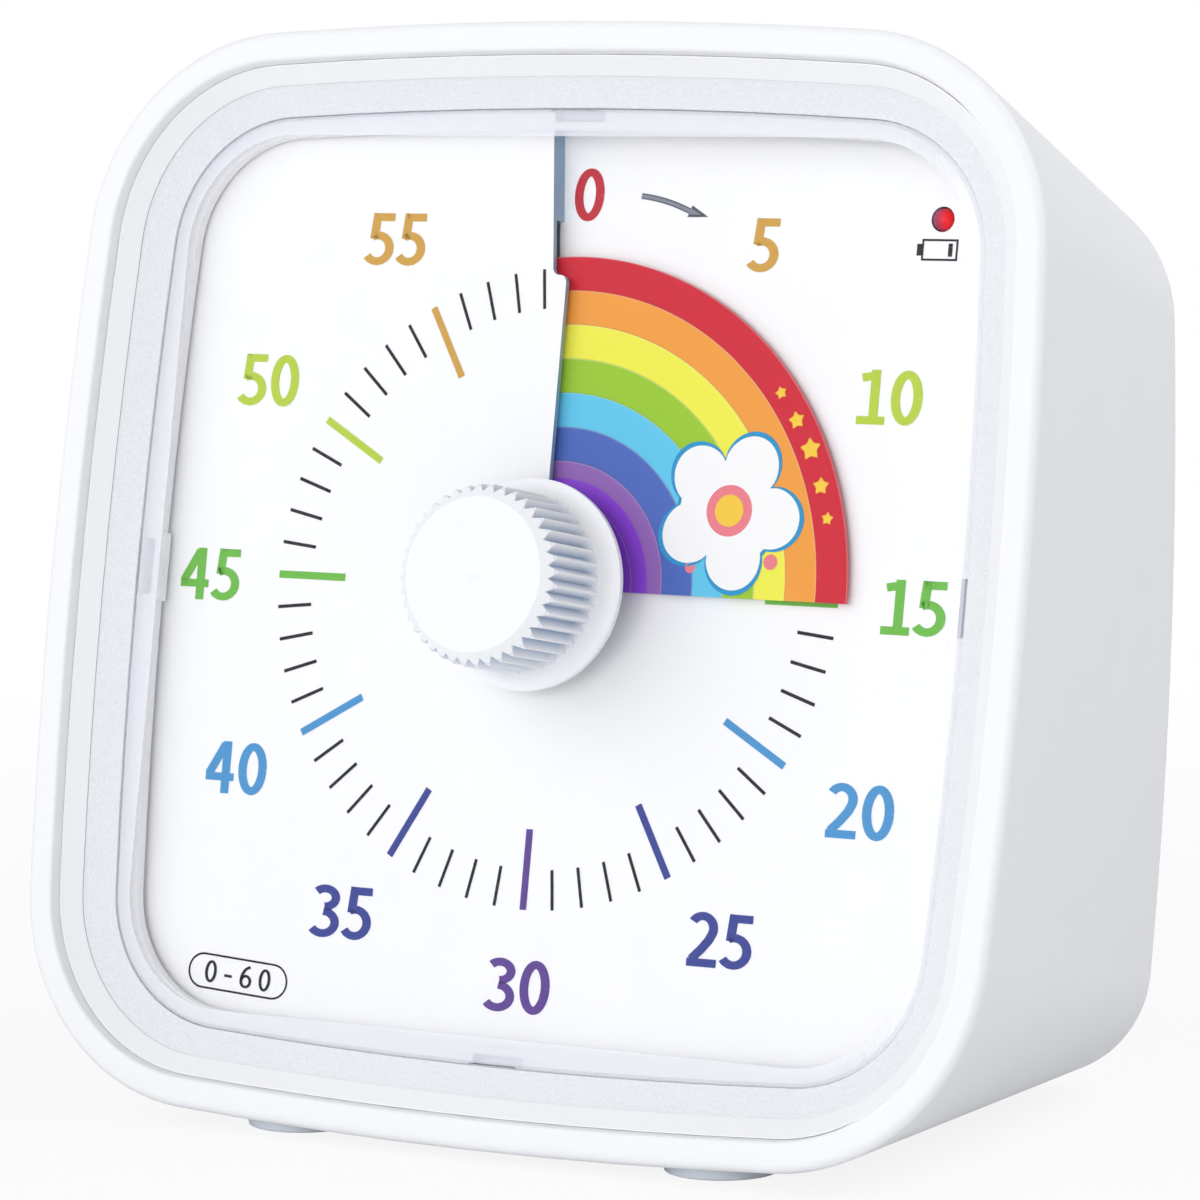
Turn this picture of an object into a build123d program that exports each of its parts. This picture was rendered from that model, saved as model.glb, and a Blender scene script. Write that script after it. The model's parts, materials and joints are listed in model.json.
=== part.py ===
"""Visual countdown timer: a rainbow disc, spiralled through a slit in the dial, shows the minutes left.

The origin is at the bottom centre of the timer. X is to the right, Y away from the viewer, Z up.
The housing tapers by the angle at which its face leans back, so its base is level and its back upright.
The dial faces the viewer on the plane `face`, where x is right, y is up the dial and z stands out of it.
"""
from build123d import *
from math import atan2, cos, degrees, pi, radians, sin, sqrt, tan
import os

# ---- driving dimensions, in millimetres and degrees ----

lean = 10.0                 # the face leans back by this, and each side tapers by it
face_half = 44.0            # half the width and height of the face
corner_r = 17.5             # the face's corners
side_r = 455.0              # the slight crown of the face's sides
rim_n = 6.4                 # the rim's front, out from the middle of the dial
body_depth = 48.0           # rim front to back wall, along the dial's axis
wall = 2.5
rim_edge_r = 0.75
rim_inner_edge = 0.3
back_edge_r = 6.5
inner_edge_r = 3.0
foot_height = 0.6
foot_r = 4.4
foot_recess = 1.2
foot_edge = 0.2
foot_x = 19.0
foot_front_gap = 6.9        # front foot's centre to the front of the base
foot_pitch_y = 35.0
fit_gap = 0.1               # between pieces that sit in one another
slip = 0.06                 # running clearance of a shaft, on the radius
free_gap = 0.3              # between pieces that move past one another

bezel_front_n = 5.4
bezel_bend_n = 4.3
bezel_lens_n = 3.0
bezel_under_n = 1.2
bezel_lip = 0.1
bezel_step = 0.12           # drop from the smooth band to the textured one
bezel_fit = 0.05
bezel_bend_inset = 4.2      # insets are measured from the outline of the face
lens_inset = 6.6
window_inset = 8.0
ledge_n = 2.1
lens_seat = 0.03            # bond between the lens and its ledge
lens_thickness = 1.0
lens_edge = 0.3
lens_hole_r = 5.2
lens_leg_width = 4.3        # a clip at the middle of each side
lens_leg = 0.6
lens_notch = 0.15           # gap outside each clip
window_lug = 0.35           # the ledge is this much wider at the left and right clips

spiral_pitch = 1.7          # rise of dial and disc in one turn
dial_thickness = 0.5
dial_inset = 5.4
dial_hole_r = 4.8
slit_edge_x = -0.55         # edge of the high side
slit_jog_r = 24.6           # where that edge steps aside
slit_jog_x = -1.8
slit_corner_r = 0.6
slit_slope = 5.3            # degrees by which the slit leans over, out from the jog
slit_step = 0.4             # sideways from the edge of the high side to that of the low side
slit_end_r = 29.0           # the disc's slit ends here, and a riser joins the two sides
disc_thickness = 0.25
disc_r = 26.2
disc_bore_r = 4.3
disc_shown = 90.0           # degrees of the disc in view at rest: 15 minutes
disc_gap = 1.0              # degrees between the disc's two ends

knob_front_n = 12.1
knob_face_r = 6.0
knob_r = 7.05
knob_bevel = 0.9
knob_dish = 0.15
knob_dish_rim = 0.6
knob_flange_r = 8.3
knob_flange_edge = 0.45
knob_flare = 1.1
knob_grooves = 40
knob_groove_depth = 0.65
knob_groove_width = 1.0     # at the tips
knob_groove_excess = 0.3    # by which the cutter clears the tips
knob_hub_r = 3.4
knob_roof = 1.8
knob_skin = 1.4

arbor_r = 1.5
arbor_pivot_r = 1.0
arbor_collar_r = 2.4
arbor_collar_width = 0.8
hub_r = 4.0
hub_front_n = 1.8
neck_r = 3.0

carrier_front_n = -2.3
carrier_thickness = 1.6
carrier_frame = 0.9
carrier_rib_width = 1.6
carrier_rib_count = 12
carrier_rib_start_r = 27.4
carrier_rib_inset = 9.0     # from the face's side to the end of each rib
carrier_boss_inset = 8.5
carrier_boss_length = 15.0
carrier_boss_y = 16.0
carrier_boss_r = 3.2
screw_r = 1.1
screw_head_r = 2.1
screw_head_height = 1.1
screw_length = 7.0
screw_slot = 0.5

led_inset_x = 12.8          # from the face's side and top to the lamp's axis
led_inset_y = 14.4
led_r = 0.88
led_flange_r = 1.4
led_flange = 0.8
led_top_n = 0.1
led_board_side = 5.0
board_thickness = 0.8

case_half = 22.0
case_corner_r = 3.0
case_depth = 12.4
case_wall = 1.2
case_split = 6.2
case_screw_inset = 2.8
case_screw_boss_r = 2.2
case_screw_r = 0.9
case_screw_head_r = 1.7
case_screw_head = 0.9
case_screw_bite = 1.2

pressure_angle = 25.0
tooth_addendum = 0.8        # in modules
tooth_dedendum = 1.1
tooth_play = 0.12           # in modules, taken off each tooth's thickness
pinion_teeth = 10
centre_teeth = 80
third_teeth = 75
fourth_teeth = 60
fifth_teeth = 50
centre_module = 0.24
third_module = 0.22
fast_module = 0.20
third_bearing = 160.0       # bearing of each axis from the one before it, in degrees
fourth_bearing = 80.0
fifth_bearing = -5.0
rotor_bearing = 10.0
wheel_thickness = 0.8
wheel_step = 2.0            # from one wheel's layer to the next
pinion_overhang = 0.2
clutch_r = 4.0              # friction spring on the centre wheel
clutch_height = 0.6
pivot_r = 0.4
pivot_depth = 0.7
magnet_r = 2.2
magnet_height = 2.4
stator_thickness = 1.2
stator_gap = 0.7
stator_lift = 2.0
stator_yoke = 7.0
stator_arm = 2.6
stator_low_y = 11.5
stator_post_r = 1.2
coil_gap = 0.35             # between the coil's flanges and the case
coil_core_width = 2.5
coil_core_thickness = 1.2
coil_bobbin_wall = 0.5
coil_length = 17.0
coil_outer = 7.4
coil_flange = 0.8
movement_board_x = -11.5
movement_board_y = -12.5
movement_board_width = 10.0
movement_board_height = 12.0
board_post_r = 1.0
board_post_height = 1.0
chip_side = 5.0
chip_height = 1.0
crystal_r = 1.0
crystal_length = 6.0

cell_r = 7.15
cell_length = 49.2
cell_nub_r = 2.75
cell_nub = 1.0
cell_z = 20.9
tray_wall = 1.6
tray_spring_room = 4.2
tray_play = 0.35
contact_thickness = 0.4
contact_width = 9.0
contact_height = 12.0
cell_edge = 0.5
spring_wire_r = 0.35
spring_turns = 4
spring_base_r = 3.6
door_thickness = 2.4
door_ledge = 1.1
door_gap = 0.25
lower_edge_flat = 0.01
door_pin_r = 0.6
door_pin_length = 0.8
door_grip_ribs = 4
door_grip_pitch = 1.3
door_grip_groove = 0.5
door_grip_width = 14.0
door_grip_drop = 4.0

main_board_inset = 14.0     # from the face's side to the board's side
main_board_rise = 9.4       # above the middle of the dial
main_board_height = 22.0
main_board_thickness = 1.6
main_board_standoff = 3.8
main_boss_r = 2.2
switch_offset = 3.0         # from the middle of the board
switch_body_width = 8.6
switch_body_height = 4.0
switch_travel = 2.0         # each way
switch_slider_width = 3.0
switch_slider_height = 2.0
switch_slider_sunk = 0.4
switch_recess = 0.9
switch_shell = 1.0
switch_shoe = 0.8
buzzer_x = 14.0
buzzer_r = 11.0
buzzer_height = 4.0
buzzer_port_r = 1.5
buzzer_collar = 1.2
buzzer_edge = 0.5
sound_hole_r = 0.9
sound_hole_ring_r = 4.0
sound_hole_count = 6
wire_r = 0.55
wire_spread = 3.0
wire_bow = 6.0              # how far a wire runs straight on before it bends
movement_lead_y = 8.0

# ---- places that follow from the sizes ----

tan_lean = tan(radians(lean))
sin_lean = sin(radians(lean))
cos_lean = cos(radians(lean))
back_n = rim_n - body_depth
front_reach = (face_half - rim_edge_r) * sin_lean + (rim_n - rim_edge_r) * cos_lean + rim_edge_r
back_reach = -back_n * cos_lean
face_y = (front_reach - back_reach) / 2
back_y = face_y + back_reach
base_drop = (face_half - rim_edge_r) * cos_lean - (rim_n - rim_edge_r) * sin_lean + rim_edge_r
face_z = foot_height + base_drop
front_y = face_y - front_reach
inner_y = back_y - wall
face = Plane(origin=(0, face_y, face_z), x_dir=(1, 0, 0), z_dir=(0, -cos_lean, sin_lean))

carrier_back_n = carrier_front_n - carrier_thickness
carrier_inset = wall + (rim_n - carrier_back_n) * tan_lean + fit_gap
carrier_boss_x = face_half - carrier_boss_inset
carrier_rib_end_r = face_half - carrier_rib_inset
led_x = face_half - led_inset_x
led_y = face_half - led_inset_y
lens_back_n = ledge_n + lens_seat
lens_front_n = lens_back_n + lens_thickness
flange_back_n = lens_front_n + free_gap
flange_front_n = flange_back_n + knob_flange_edge
hub_back_n = carrier_front_n + free_gap
case_front_n = carrier_back_n
case_back_n = case_front_n - case_depth
case_split_n = case_front_n - case_split
inner_front_n = case_front_n - case_wall
inner_back_n = case_back_n + case_wall
case_screw_xy = case_half - case_screw_inset
coil_core_x = case_half - case_wall - coil_gap - coil_outer / 2
cell_y = inner_y - tray_play - cell_r
tray_floor_y = cell_y - cell_r - tray_play
tray_half_x = (cell_length + cell_nub + tray_spring_room) / 2 + contact_thickness
tray_half_z = cell_r + tray_play
door_half_x = tray_half_x + door_ledge
door_half_z = tray_half_z + door_ledge
door_pivot_y = back_y - door_thickness / 2
door_pivot_z = cell_z - door_half_z + door_thickness / 2
main_board_width = face_half - main_board_inset
main_board_x = -main_board_width / 2
main_board_y = inner_y - main_board_standoff
main_board_z = face_z + main_board_rise
switch_x = main_board_x - switch_offset
switch_z = main_board_z
buzzer_z = main_board_z
movement_board_posts = [(movement_board_x, movement_board_y + sy * movement_board_height / 3) for sy in (1, -1)]

os.makedirs("parts", exist_ok=True)


def save(part, label):
    """Name a finished piece and write it as one STEP file."""
    part.label = label
    export_step(part, f"parts/{label}.step")


def at_face(n, x=0.0, y=0.0):
    """The plane parallel to the dial, n out from it, with its origin at x, y."""
    return Plane(origin=face.from_local_coords((x, y, n)), x_dir=face.x_dir, z_dir=face.z_dir)


def at_back(y, x=0.0, z=0.0):
    """The upright plane at depth y, facing the viewer, with its origin at x, z."""
    return Plane(origin=(x, y, z), x_dir=(1, 0, 0), z_dir=(0, -1, 0))


def outline(inset):
    """The face's rounded square, moved in by `inset`: crowned sides joined by corner arcs."""
    side_centre = face_half - side_r
    corner = (side_centre + sqrt(2 * (side_r - corner_r) ** 2 - side_centre ** 2)) / 2
    lean_in = atan2(corner, corner - side_centre)
    side, small = side_r - inset, corner_r - inset
    side_end = Vector(side_centre + side * cos(lean_in), side * sin(lean_in))
    side_start = Vector(side_end.X, -side_end.Y)
    corner_mid = Vector(corner + small * sqrt(0.5), corner + small * sqrt(0.5))
    next_start = Vector(side_end.Y, side_end.X)
    with BuildSketch(Plane.XY) as shape:
        with BuildLine():
            for quarter in range(4):
                a, b, c, d, e = [p.rotate(Axis.Z, 90 * quarter) for p in
                                 (side_start, Vector(face_half - inset, 0), side_end, corner_mid, next_start)]
                ThreePointArc(a, b, c)
                ThreePointArc(c, d, e)
        make_face()
    return shape.sketch


def frustum(inset_a, n_a, inset_b, n_b):
    """A block whose outline passes straight from one inset at height n_a to another at n_b."""
    with BuildPart() as block:
        for inset, n in ((inset_a, n_a), (inset_b, n_b)):
            with BuildSketch(at_face(n)):
                add(outline(inset))
        loft(ruled=True)
    return block.part


def tapered_block(inset, rear_y, edge_r):
    """The housing's form, `inset` inside it, from the rim back to the upright plane at rear_y."""
    deep_n = -(rear_y - face_y + face_half * sin_lean) / cos_lean
    with BuildPart() as block:
        add(frustum(inset, rim_n, inset + (rim_n - deep_n) * tan_lean, deep_n))
        split(bisect_by=at_back(rear_y), keep=Keep.TOP)
        fillet(block.faces().sort_by(Axis.Y)[-1].edges(), edge_r)
    return block.part


def spiral(inner_r, outer_r, thickness, low_angle, high_angle, mid_n):
    """A sheet that climbs by one pitch a turn; angles run clockwise from 12 o'clock, seen from the front.

    Its middle lies at height mid_n where the angle is 0.
    """
    climb = spiral_pitch * (high_angle - low_angle) / 360
    start_n = mid_n + spiral_pitch * low_angle / 360
    rails = []
    for r, lift in ((inner_r, -thickness / 2), (outer_r, -thickness / 2),
                    (outer_r, thickness / 2), (inner_r, thickness / 2)):
        rail = Edge.make_helix(spiral_pitch, climb, r, lefthand=True)
        rails.append(rail.rotate(Axis.Z, 90 - low_angle).translate((0, 0, start_n + lift)))
    skins = [Face.make_surface_from_curves(rails[k], rails[(k + 1) % 4]) for k in range(4)]
    ends = [Face(Wire.make_polygon([rail @ end for rail in rails], close=True)) for end in (0, 1)]
    return face.location * Solid(Shell(skins + ends))


def corners(half):
    """The four points at (+-half, +-half)."""
    return [(half, half), (-half, half), (-half, -half), (half, -half)]


# ---- housing: a tapered bucket with the battery bay and bosses moulded in ----

carrier_boss_places = [(sx * carrier_boss_x, sy * carrier_boss_y) for sx in (1, -1) for sy in (1, -1)]
foot_places = [(sx * foot_x, front_y + foot_front_gap + row * foot_pitch_y)
               for sx in (1, -1) for row in (0, 1)]
board_boss_places = [(main_board_x + sx * (main_board_width / 2 - main_boss_r),
                      main_board_z + sz * (main_board_height / 2 - main_boss_r))
                     for sx, sz in ((1, 1), (-1, -1))]
bay_depth = inner_y - tray_floor_y
battery_wire_z = cell_z + tray_half_z
battery_wire_x = tray_half_x - contact_thickness / 2

with BuildPart() as housing:
    add(tapered_block(0, back_y, back_edge_r))
    front_edges = housing.faces().sort_by(Axis(face.origin, face.z_dir))[-1].edges()
    fillet(front_edges, rim_edge_r)
    add(tapered_block(wall, inner_y, inner_edge_r), mode=Mode.SUBTRACT)
    rim_face = housing.faces().filter_by(face).sort_by(Axis(face.origin, face.z_dir))[-1]
    fillet(rim_face.inner_wires()[0].edges(), rim_inner_edge)
    with BuildSketch(at_face(carrier_back_n)):
        with Locations(*carrier_boss_places):
            Circle(carrier_boss_r)
    extrude(amount=-carrier_boss_length)
    with BuildSketch(at_face(carrier_back_n)):
        with Locations(*carrier_boss_places):
            Circle(screw_r)
    extrude(amount=-(screw_length - carrier_thickness + fit_gap), mode=Mode.SUBTRACT)
    with BuildSketch(at_back(inner_y, z=cell_z)):
        Rectangle(2 * (tray_half_x + tray_wall), 2 * (tray_half_z + tray_wall))
    extrude(amount=bay_depth + tray_wall)
    with BuildSketch(at_back(inner_y)):
        with Locations(*board_boss_places):
            Circle(main_boss_r)
    extrude(amount=main_board_standoff)
    with BuildSketch(at_back(inner_y)):
        with Locations(*board_boss_places):
            Circle(screw_r)
    extrude(amount=main_board_standoff, mode=Mode.SUBTRACT)
    with BuildSketch(at_back(inner_y, buzzer_x, buzzer_z)):
        Circle(buzzer_r + fit_gap + buzzer_collar)
        Circle(buzzer_r + fit_gap, mode=Mode.SUBTRACT)
    extrude(amount=buzzer_height)
    with BuildSketch(at_back(back_y, z=cell_z)):
        Rectangle(2 * tray_half_x, 2 * tray_half_z)
    extrude(amount=wall + bay_depth, mode=Mode.SUBTRACT)
    with BuildSketch(at_back(back_y, z=cell_z)):
        Rectangle(2 * (door_half_x + door_gap), 2 * (door_half_z + door_gap))
    extrude(amount=door_thickness + fit_gap, mode=Mode.SUBTRACT)
    for side in (1, -1):
        with BuildSketch(Plane(origin=(side * door_half_x, door_pivot_y, door_pivot_z), z_dir=(side, 0, 0))):
            Circle(door_pin_r + slip)
        extrude(amount=door_gap + door_pin_length + fit_gap, mode=Mode.SUBTRACT)
        with BuildSketch(Plane(origin=(side * (battery_wire_x - wire_r), cell_y, battery_wire_z))):
            Circle(wire_r + fit_gap)
        extrude(amount=tray_wall, mode=Mode.SUBTRACT)
    with BuildSketch(at_back(back_y, switch_x, switch_z)):
        Rectangle(switch_slider_width + 2 * switch_travel + 4 * switch_recess,
                  switch_slider_height + 4 * switch_recess)
    extrude(amount=switch_recess, mode=Mode.SUBTRACT)
    with BuildSketch(at_back(back_y, switch_x, switch_z)):
        Rectangle(switch_slider_width + 2 * (switch_travel + free_gap), switch_slider_height + 2 * free_gap)
    extrude(amount=wall, mode=Mode.SUBTRACT)
    with BuildSketch(at_back(back_y, buzzer_x, buzzer_z)):
        Circle(sound_hole_r)
        with PolarLocations(sound_hole_ring_r, sound_hole_count):
            Circle(sound_hole_r)
    extrude(amount=wall, mode=Mode.SUBTRACT)
    with BuildSketch(Plane.XY):
        with Locations(*foot_places):
            Circle(foot_r + fit_gap)
    extrude(amount=foot_height + foot_recess, mode=Mode.SUBTRACT)
save(housing.part, "housing")

with BuildPart() as rubber_feet:
    with BuildSketch(Plane.XY):
        with Locations(*foot_places):
            Circle(foot_r)
    extrude(amount=foot_height + foot_recess)
    fillet(rubber_feet.faces().filter_by(Plane.XY).group_by(Axis.Z)[0].edges(), foot_edge)
save(rubber_feet.part, "rubber_feet")


# ---- bezel ring and lens ----

bezel_front_inset = wall + (rim_n - bezel_front_n) * tan_lean + bezel_fit
bezel_under_inset = wall + (rim_n - bezel_under_n) * tan_lean + bezel_fit
lens_half = face_half - lens_inset
window_half = face_half - window_inset


def side_pads(outer, depth, width, count=4):
    """Rectangles at the middles of the sides, from the right one, reaching `depth` in from the distance `outer`."""
    with BuildSketch(Plane.XY) as pads:
        with PolarLocations(outer - depth / 2, count):
            Rectangle(depth, width)
    return pads.sketch


with BuildPart() as bezel_ring:
    add(frustum(bezel_under_inset, bezel_under_n, bezel_front_inset, bezel_front_n))
    add(frustum(bezel_bend_inset, bezel_bend_n, bezel_front_inset + bezel_lip, bezel_front_n),
        mode=Mode.SUBTRACT)
    with BuildSketch(at_face(bezel_bend_n)):
        add(outline(bezel_bend_inset))
    extrude(amount=-bezel_step, mode=Mode.SUBTRACT)
    add(frustum(lens_inset - fit_gap, bezel_lens_n, bezel_bend_inset, bezel_bend_n - bezel_step),
        mode=Mode.SUBTRACT)
    with BuildSketch(at_face(ledge_n)):
        add(outline(lens_inset - fit_gap))
    extrude(amount=bezel_front_n - ledge_n, mode=Mode.SUBTRACT)
    with BuildSketch(at_face(bezel_under_n)):
        add(outline(window_inset))
        add(side_pads(window_half, window_lug, lens_leg_width + 2 * lens_leg, 2), mode=Mode.SUBTRACT)
        add(side_pads(lens_half, lens_notch + lens_leg + fit_gap, lens_leg_width + 2 * fit_gap))
    extrude(amount=ledge_n - bezel_under_n, mode=Mode.SUBTRACT)
save(bezel_ring.part, "bezel_ring")

with BuildPart() as lens:
    with BuildSketch(at_face(lens_back_n)):
        add(outline(lens_inset))
        Circle(lens_hole_r, mode=Mode.SUBTRACT)
    extrude(amount=lens_thickness)
    lens_front = lens.faces().sort_by(Axis(face.origin, face.z_dir))[-1]
    chamfer(lens_front.edges(), lens_edge)
    with BuildSketch(at_face(lens_back_n)):
        add(side_pads(lens_half + fit_gap, fit_gap + lens_notch, lens_leg_width))
    extrude(amount=lens_thickness, mode=Mode.SUBTRACT)
    with BuildSketch(at_face(bezel_under_n)):
        add(side_pads(lens_half - lens_notch, lens_leg, lens_leg_width))
    extrude(amount=lens_back_n - bezel_under_n)
save(lens.part, "lens")


# ---- dial plate and the carrier behind it ----

spiral_turn = 360.0
slit_overlap = 15.0         # degrees by which the low side runs on under the high side
reach = 2 * face_half

slit_low_x = slit_jog_x - slit_step
slit_tilt = tan(radians(slit_slope))
slit_end_x = slit_jog_x - (slit_end_r - slit_jog_r) * slit_tilt
slit_top_x = slit_jog_x - (reach - slit_jog_r) * slit_tilt

with BuildPart() as dial_plate:
    add(spiral(dial_hole_r, 1.4 * face_half, dial_thickness, -slit_overlap, spiral_turn, -spiral_pitch / 2))
    with BuildSketch(at_face(0)):
        with BuildLine():
            Polyline((slit_low_x, 0), (slit_low_x, slit_jog_r), (slit_top_x - slit_step, reach),
                     (-reach, reach), (-reach, 0), close=True)
        make_face()
    extrude(amount=-spiral_pitch, mode=Mode.SUBTRACT)
    with BuildSketch(at_face(0)):
        with BuildLine():
            FilletPolyline((slit_edge_x, 0), (slit_edge_x, slit_jog_r), (slit_jog_x, slit_jog_r),
                           (slit_top_x, reach), radius=slit_corner_r)
            Polyline((slit_top_x, reach), (reach, reach), (reach, 0), (slit_edge_x, 0))
        make_face()
    extrude(amount=spiral_pitch, mode=Mode.SUBTRACT)
    with BuildSketch(at_face(-spiral_pitch / 2)):
        with BuildLine():
            Polyline((slit_end_x, slit_end_r), (slit_end_x - slit_step, slit_end_r),
                     (slit_top_x - slit_step, reach), (slit_top_x, reach), close=True)
        make_face()
    extrude(amount=spiral_pitch)
    with BuildSketch(at_face(-spiral_pitch - dial_thickness)):
        add(outline(dial_inset))
    extrude(amount=2 * (spiral_pitch + dial_thickness), mode=Mode.INTERSECT)
    with BuildSketch(at_face(-spiral_pitch)):
        with Locations((led_x, led_y)):
            Circle(led_r + fit_gap)
    extrude(amount=2 * spiral_pitch, mode=Mode.SUBTRACT)
save(dial_plate.part, "dial_plate")

carrier_rib_step = 360 / carrier_rib_count
carrier_frame_front_n = bezel_under_n - fit_gap

with BuildPart() as dial_carrier:
    with BuildSketch(at_face(carrier_back_n)):
        add(outline(carrier_inset))
    extrude(amount=carrier_frame_front_n - carrier_back_n)
    with BuildSketch(at_face(carrier_front_n)):
        add(outline(carrier_inset + carrier_frame))
    extrude(amount=carrier_frame_front_n - carrier_front_n, mode=Mode.SUBTRACT)
    for k in range(1, carrier_rib_count):
        bearing = k * carrier_rib_step
        dial_back_n = spiral_pitch * (bearing / 360 - 0.5) - dial_thickness / 2 - fit_gap
        with BuildSketch(at_face(carrier_front_n)):
            with Locations(Location((0, 0), 90 - bearing)):
                with Locations(((carrier_rib_start_r + carrier_rib_end_r) / 2, 0)):
                    Rectangle(carrier_rib_end_r - carrier_rib_start_r, carrier_rib_width)
        extrude(amount=dial_back_n - carrier_front_n)
    with BuildSketch(at_face(carrier_back_n)):
        Circle(neck_r + fit_gap)
        with Locations(*carrier_boss_places):
            Circle(screw_r + fit_gap)
        with Locations(*corners(case_screw_xy)):
            Circle(case_screw_r)
        with Locations((led_x, led_y)):
            Circle(led_flange_r + fit_gap)
    extrude(amount=carrier_thickness, mode=Mode.SUBTRACT)
save(dial_carrier.part, "dial_carrier")

with BuildPart() as carrier_screws:
    with BuildSketch(at_face(carrier_front_n)):
        with Locations(*carrier_boss_places):
            Circle(screw_r)
    extrude(amount=-screw_length)
    with BuildSketch(at_face(carrier_front_n)):
        with Locations(*carrier_boss_places):
            Circle(screw_head_r)
    extrude(amount=screw_head_height)
    with BuildSketch(at_face(carrier_front_n + screw_head_height)):
        with Locations(*carrier_boss_places):
            Rectangle(2 * screw_head_r, screw_slot)
    extrude(amount=-screw_slot, mode=Mode.SUBTRACT)
save(carrier_screws.part, "carrier_screws")

with BuildPart() as status_led:
    with BuildSketch(at_face(carrier_back_n, led_x, led_y)):
        Circle(led_flange_r)
    extrude(amount=led_flange)
    with BuildSketch(at_face(carrier_back_n, led_x, led_y)):
        Circle(led_r)
    extrude(amount=led_top_n - carrier_back_n)
    fillet(status_led.faces().sort_by(Axis(face.origin, face.z_dir))[-1].edges(), led_r * 0.9)
save(status_led.part, "status_led")

with BuildPart() as led_board:
    with BuildSketch(at_face(carrier_back_n, led_x, led_y)):
        Rectangle(led_board_side, led_board_side)
    extrude(amount=-board_thickness)
save(led_board.part, "led_board")


# ---- rainbow disc, knob and the arbor that turns them ----

with BuildPart() as rainbow_disc:
    add(spiral(disc_bore_r, disc_r, disc_thickness, disc_shown - 360 + disc_gap, disc_shown, 0))
save(rainbow_disc.part, "rainbow_disc")

with BuildPart() as disc_hub:
    with BuildSketch(at_face(hub_back_n)):
        Circle(hub_r)
        Circle(arbor_r, mode=Mode.SUBTRACT)
    extrude(amount=hub_front_n - hub_back_n)
save(disc_hub.part, "disc_hub")

knob_axis_plane = Plane(origin=face.origin, x_dir=(1, 0, 0), z_dir=-face.y_dir)
knob_shoulder_n = knob_front_n - knob_bevel
knob_foot_n = flange_front_n + knob_flare
knob_hollow_r = knob_r - knob_groove_depth - knob_skin
knob_roof_n = knob_front_n - knob_roof
groove_reach = knob_groove_depth + knob_groove_excess
groove_half = knob_groove_width / 2 * groove_reach / knob_groove_depth

with BuildPart() as knob:
    with BuildSketch(knob_axis_plane):
        with BuildLine():
            Polyline((0, flange_back_n), (knob_flange_r, flange_back_n), (knob_flange_r, flange_front_n))
            ThreePointArc((knob_flange_r, flange_front_n),
                          (knob_r + (knob_flange_r - knob_r) * 0.3, flange_front_n + knob_flare * 0.3),
                          (knob_r, knob_foot_n))
            Polyline((knob_r, knob_foot_n), (knob_r, knob_shoulder_n), (knob_face_r, knob_front_n),
                     (knob_face_r - knob_dish_rim, knob_front_n), (0, knob_front_n - knob_dish),
                     (0, flange_back_n))
        make_face()
    revolve(axis=Axis(face.origin, face.z_dir))
    with BuildSketch(at_face(knob_foot_n)):
        with PolarLocations(knob_r - knob_groove_depth, knob_grooves):
            Polygon((0, 0), (groove_reach, -groove_half), (groove_reach, groove_half), align=None)
    extrude(amount=knob_front_n - knob_foot_n, mode=Mode.SUBTRACT)
    with BuildSketch(at_face(flange_back_n)):
        Circle(knob_hollow_r)
        Circle(knob_hub_r, mode=Mode.SUBTRACT)
    extrude(amount=knob_roof_n - flange_back_n, mode=Mode.SUBTRACT)
    with BuildSketch(at_face(hub_front_n)):
        Circle(knob_hub_r)
    extrude(amount=flange_back_n - hub_front_n)
    with BuildSketch(at_face(hub_front_n)):
        Circle(arbor_r)
    extrude(amount=knob_roof_n - hub_front_n, mode=Mode.SUBTRACT)
save(knob.part, "knob")

wheel_layer_n = [inner_back_n + free_gap + layer * wheel_step for layer in range(4)]
arbor_back_n = inner_back_n - pivot_depth
collar_front_n = inner_front_n - free_gap

with BuildPart() as arbor:
    with BuildSketch(at_face(arbor_back_n)):
        Circle(arbor_pivot_r)
    extrude(amount=wheel_layer_n[0] - arbor_back_n)
    with BuildSketch(at_face(wheel_layer_n[0])):
        Circle(arbor_r)
    extrude(amount=knob_roof_n - wheel_layer_n[0])
    with BuildSketch(at_face(collar_front_n)):
        Circle(arbor_collar_r)
    extrude(amount=-arbor_collar_width)
save(arbor.part, "arbor")


# ---- wheels of the movement ----

def step_from(start, bearing, distance):
    """The point reached from start by going `distance` along a bearing measured from x."""
    return (start[0] + distance * cos(radians(bearing)), start[1] + distance * sin(radians(bearing)))


def mesh_distance(module, teeth_a, teeth_b):
    """The distance between the axes of two gears in mesh."""
    return module * (teeth_a + teeth_b) / 2


third_xy = step_from((0, 0), third_bearing, mesh_distance(centre_module, centre_teeth, pinion_teeth))
fourth_xy = step_from(third_xy, fourth_bearing, mesh_distance(third_module, third_teeth, pinion_teeth))
fifth_xy = step_from(fourth_xy, fifth_bearing, mesh_distance(fast_module, fourth_teeth, pinion_teeth))
rotor_xy = step_from(fifth_xy, rotor_bearing, mesh_distance(fast_module, fifth_teeth, pinion_teeth))


def pinion_phase(bearing, wheel_teeth):
    """The turn that sets a pinion in mesh with a wheel whose first tooth points along x."""
    share = (bearing * wheel_teeth / 360) % 1
    return bearing + 180 - (0.5 - share) * 360 / pinion_teeth


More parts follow.
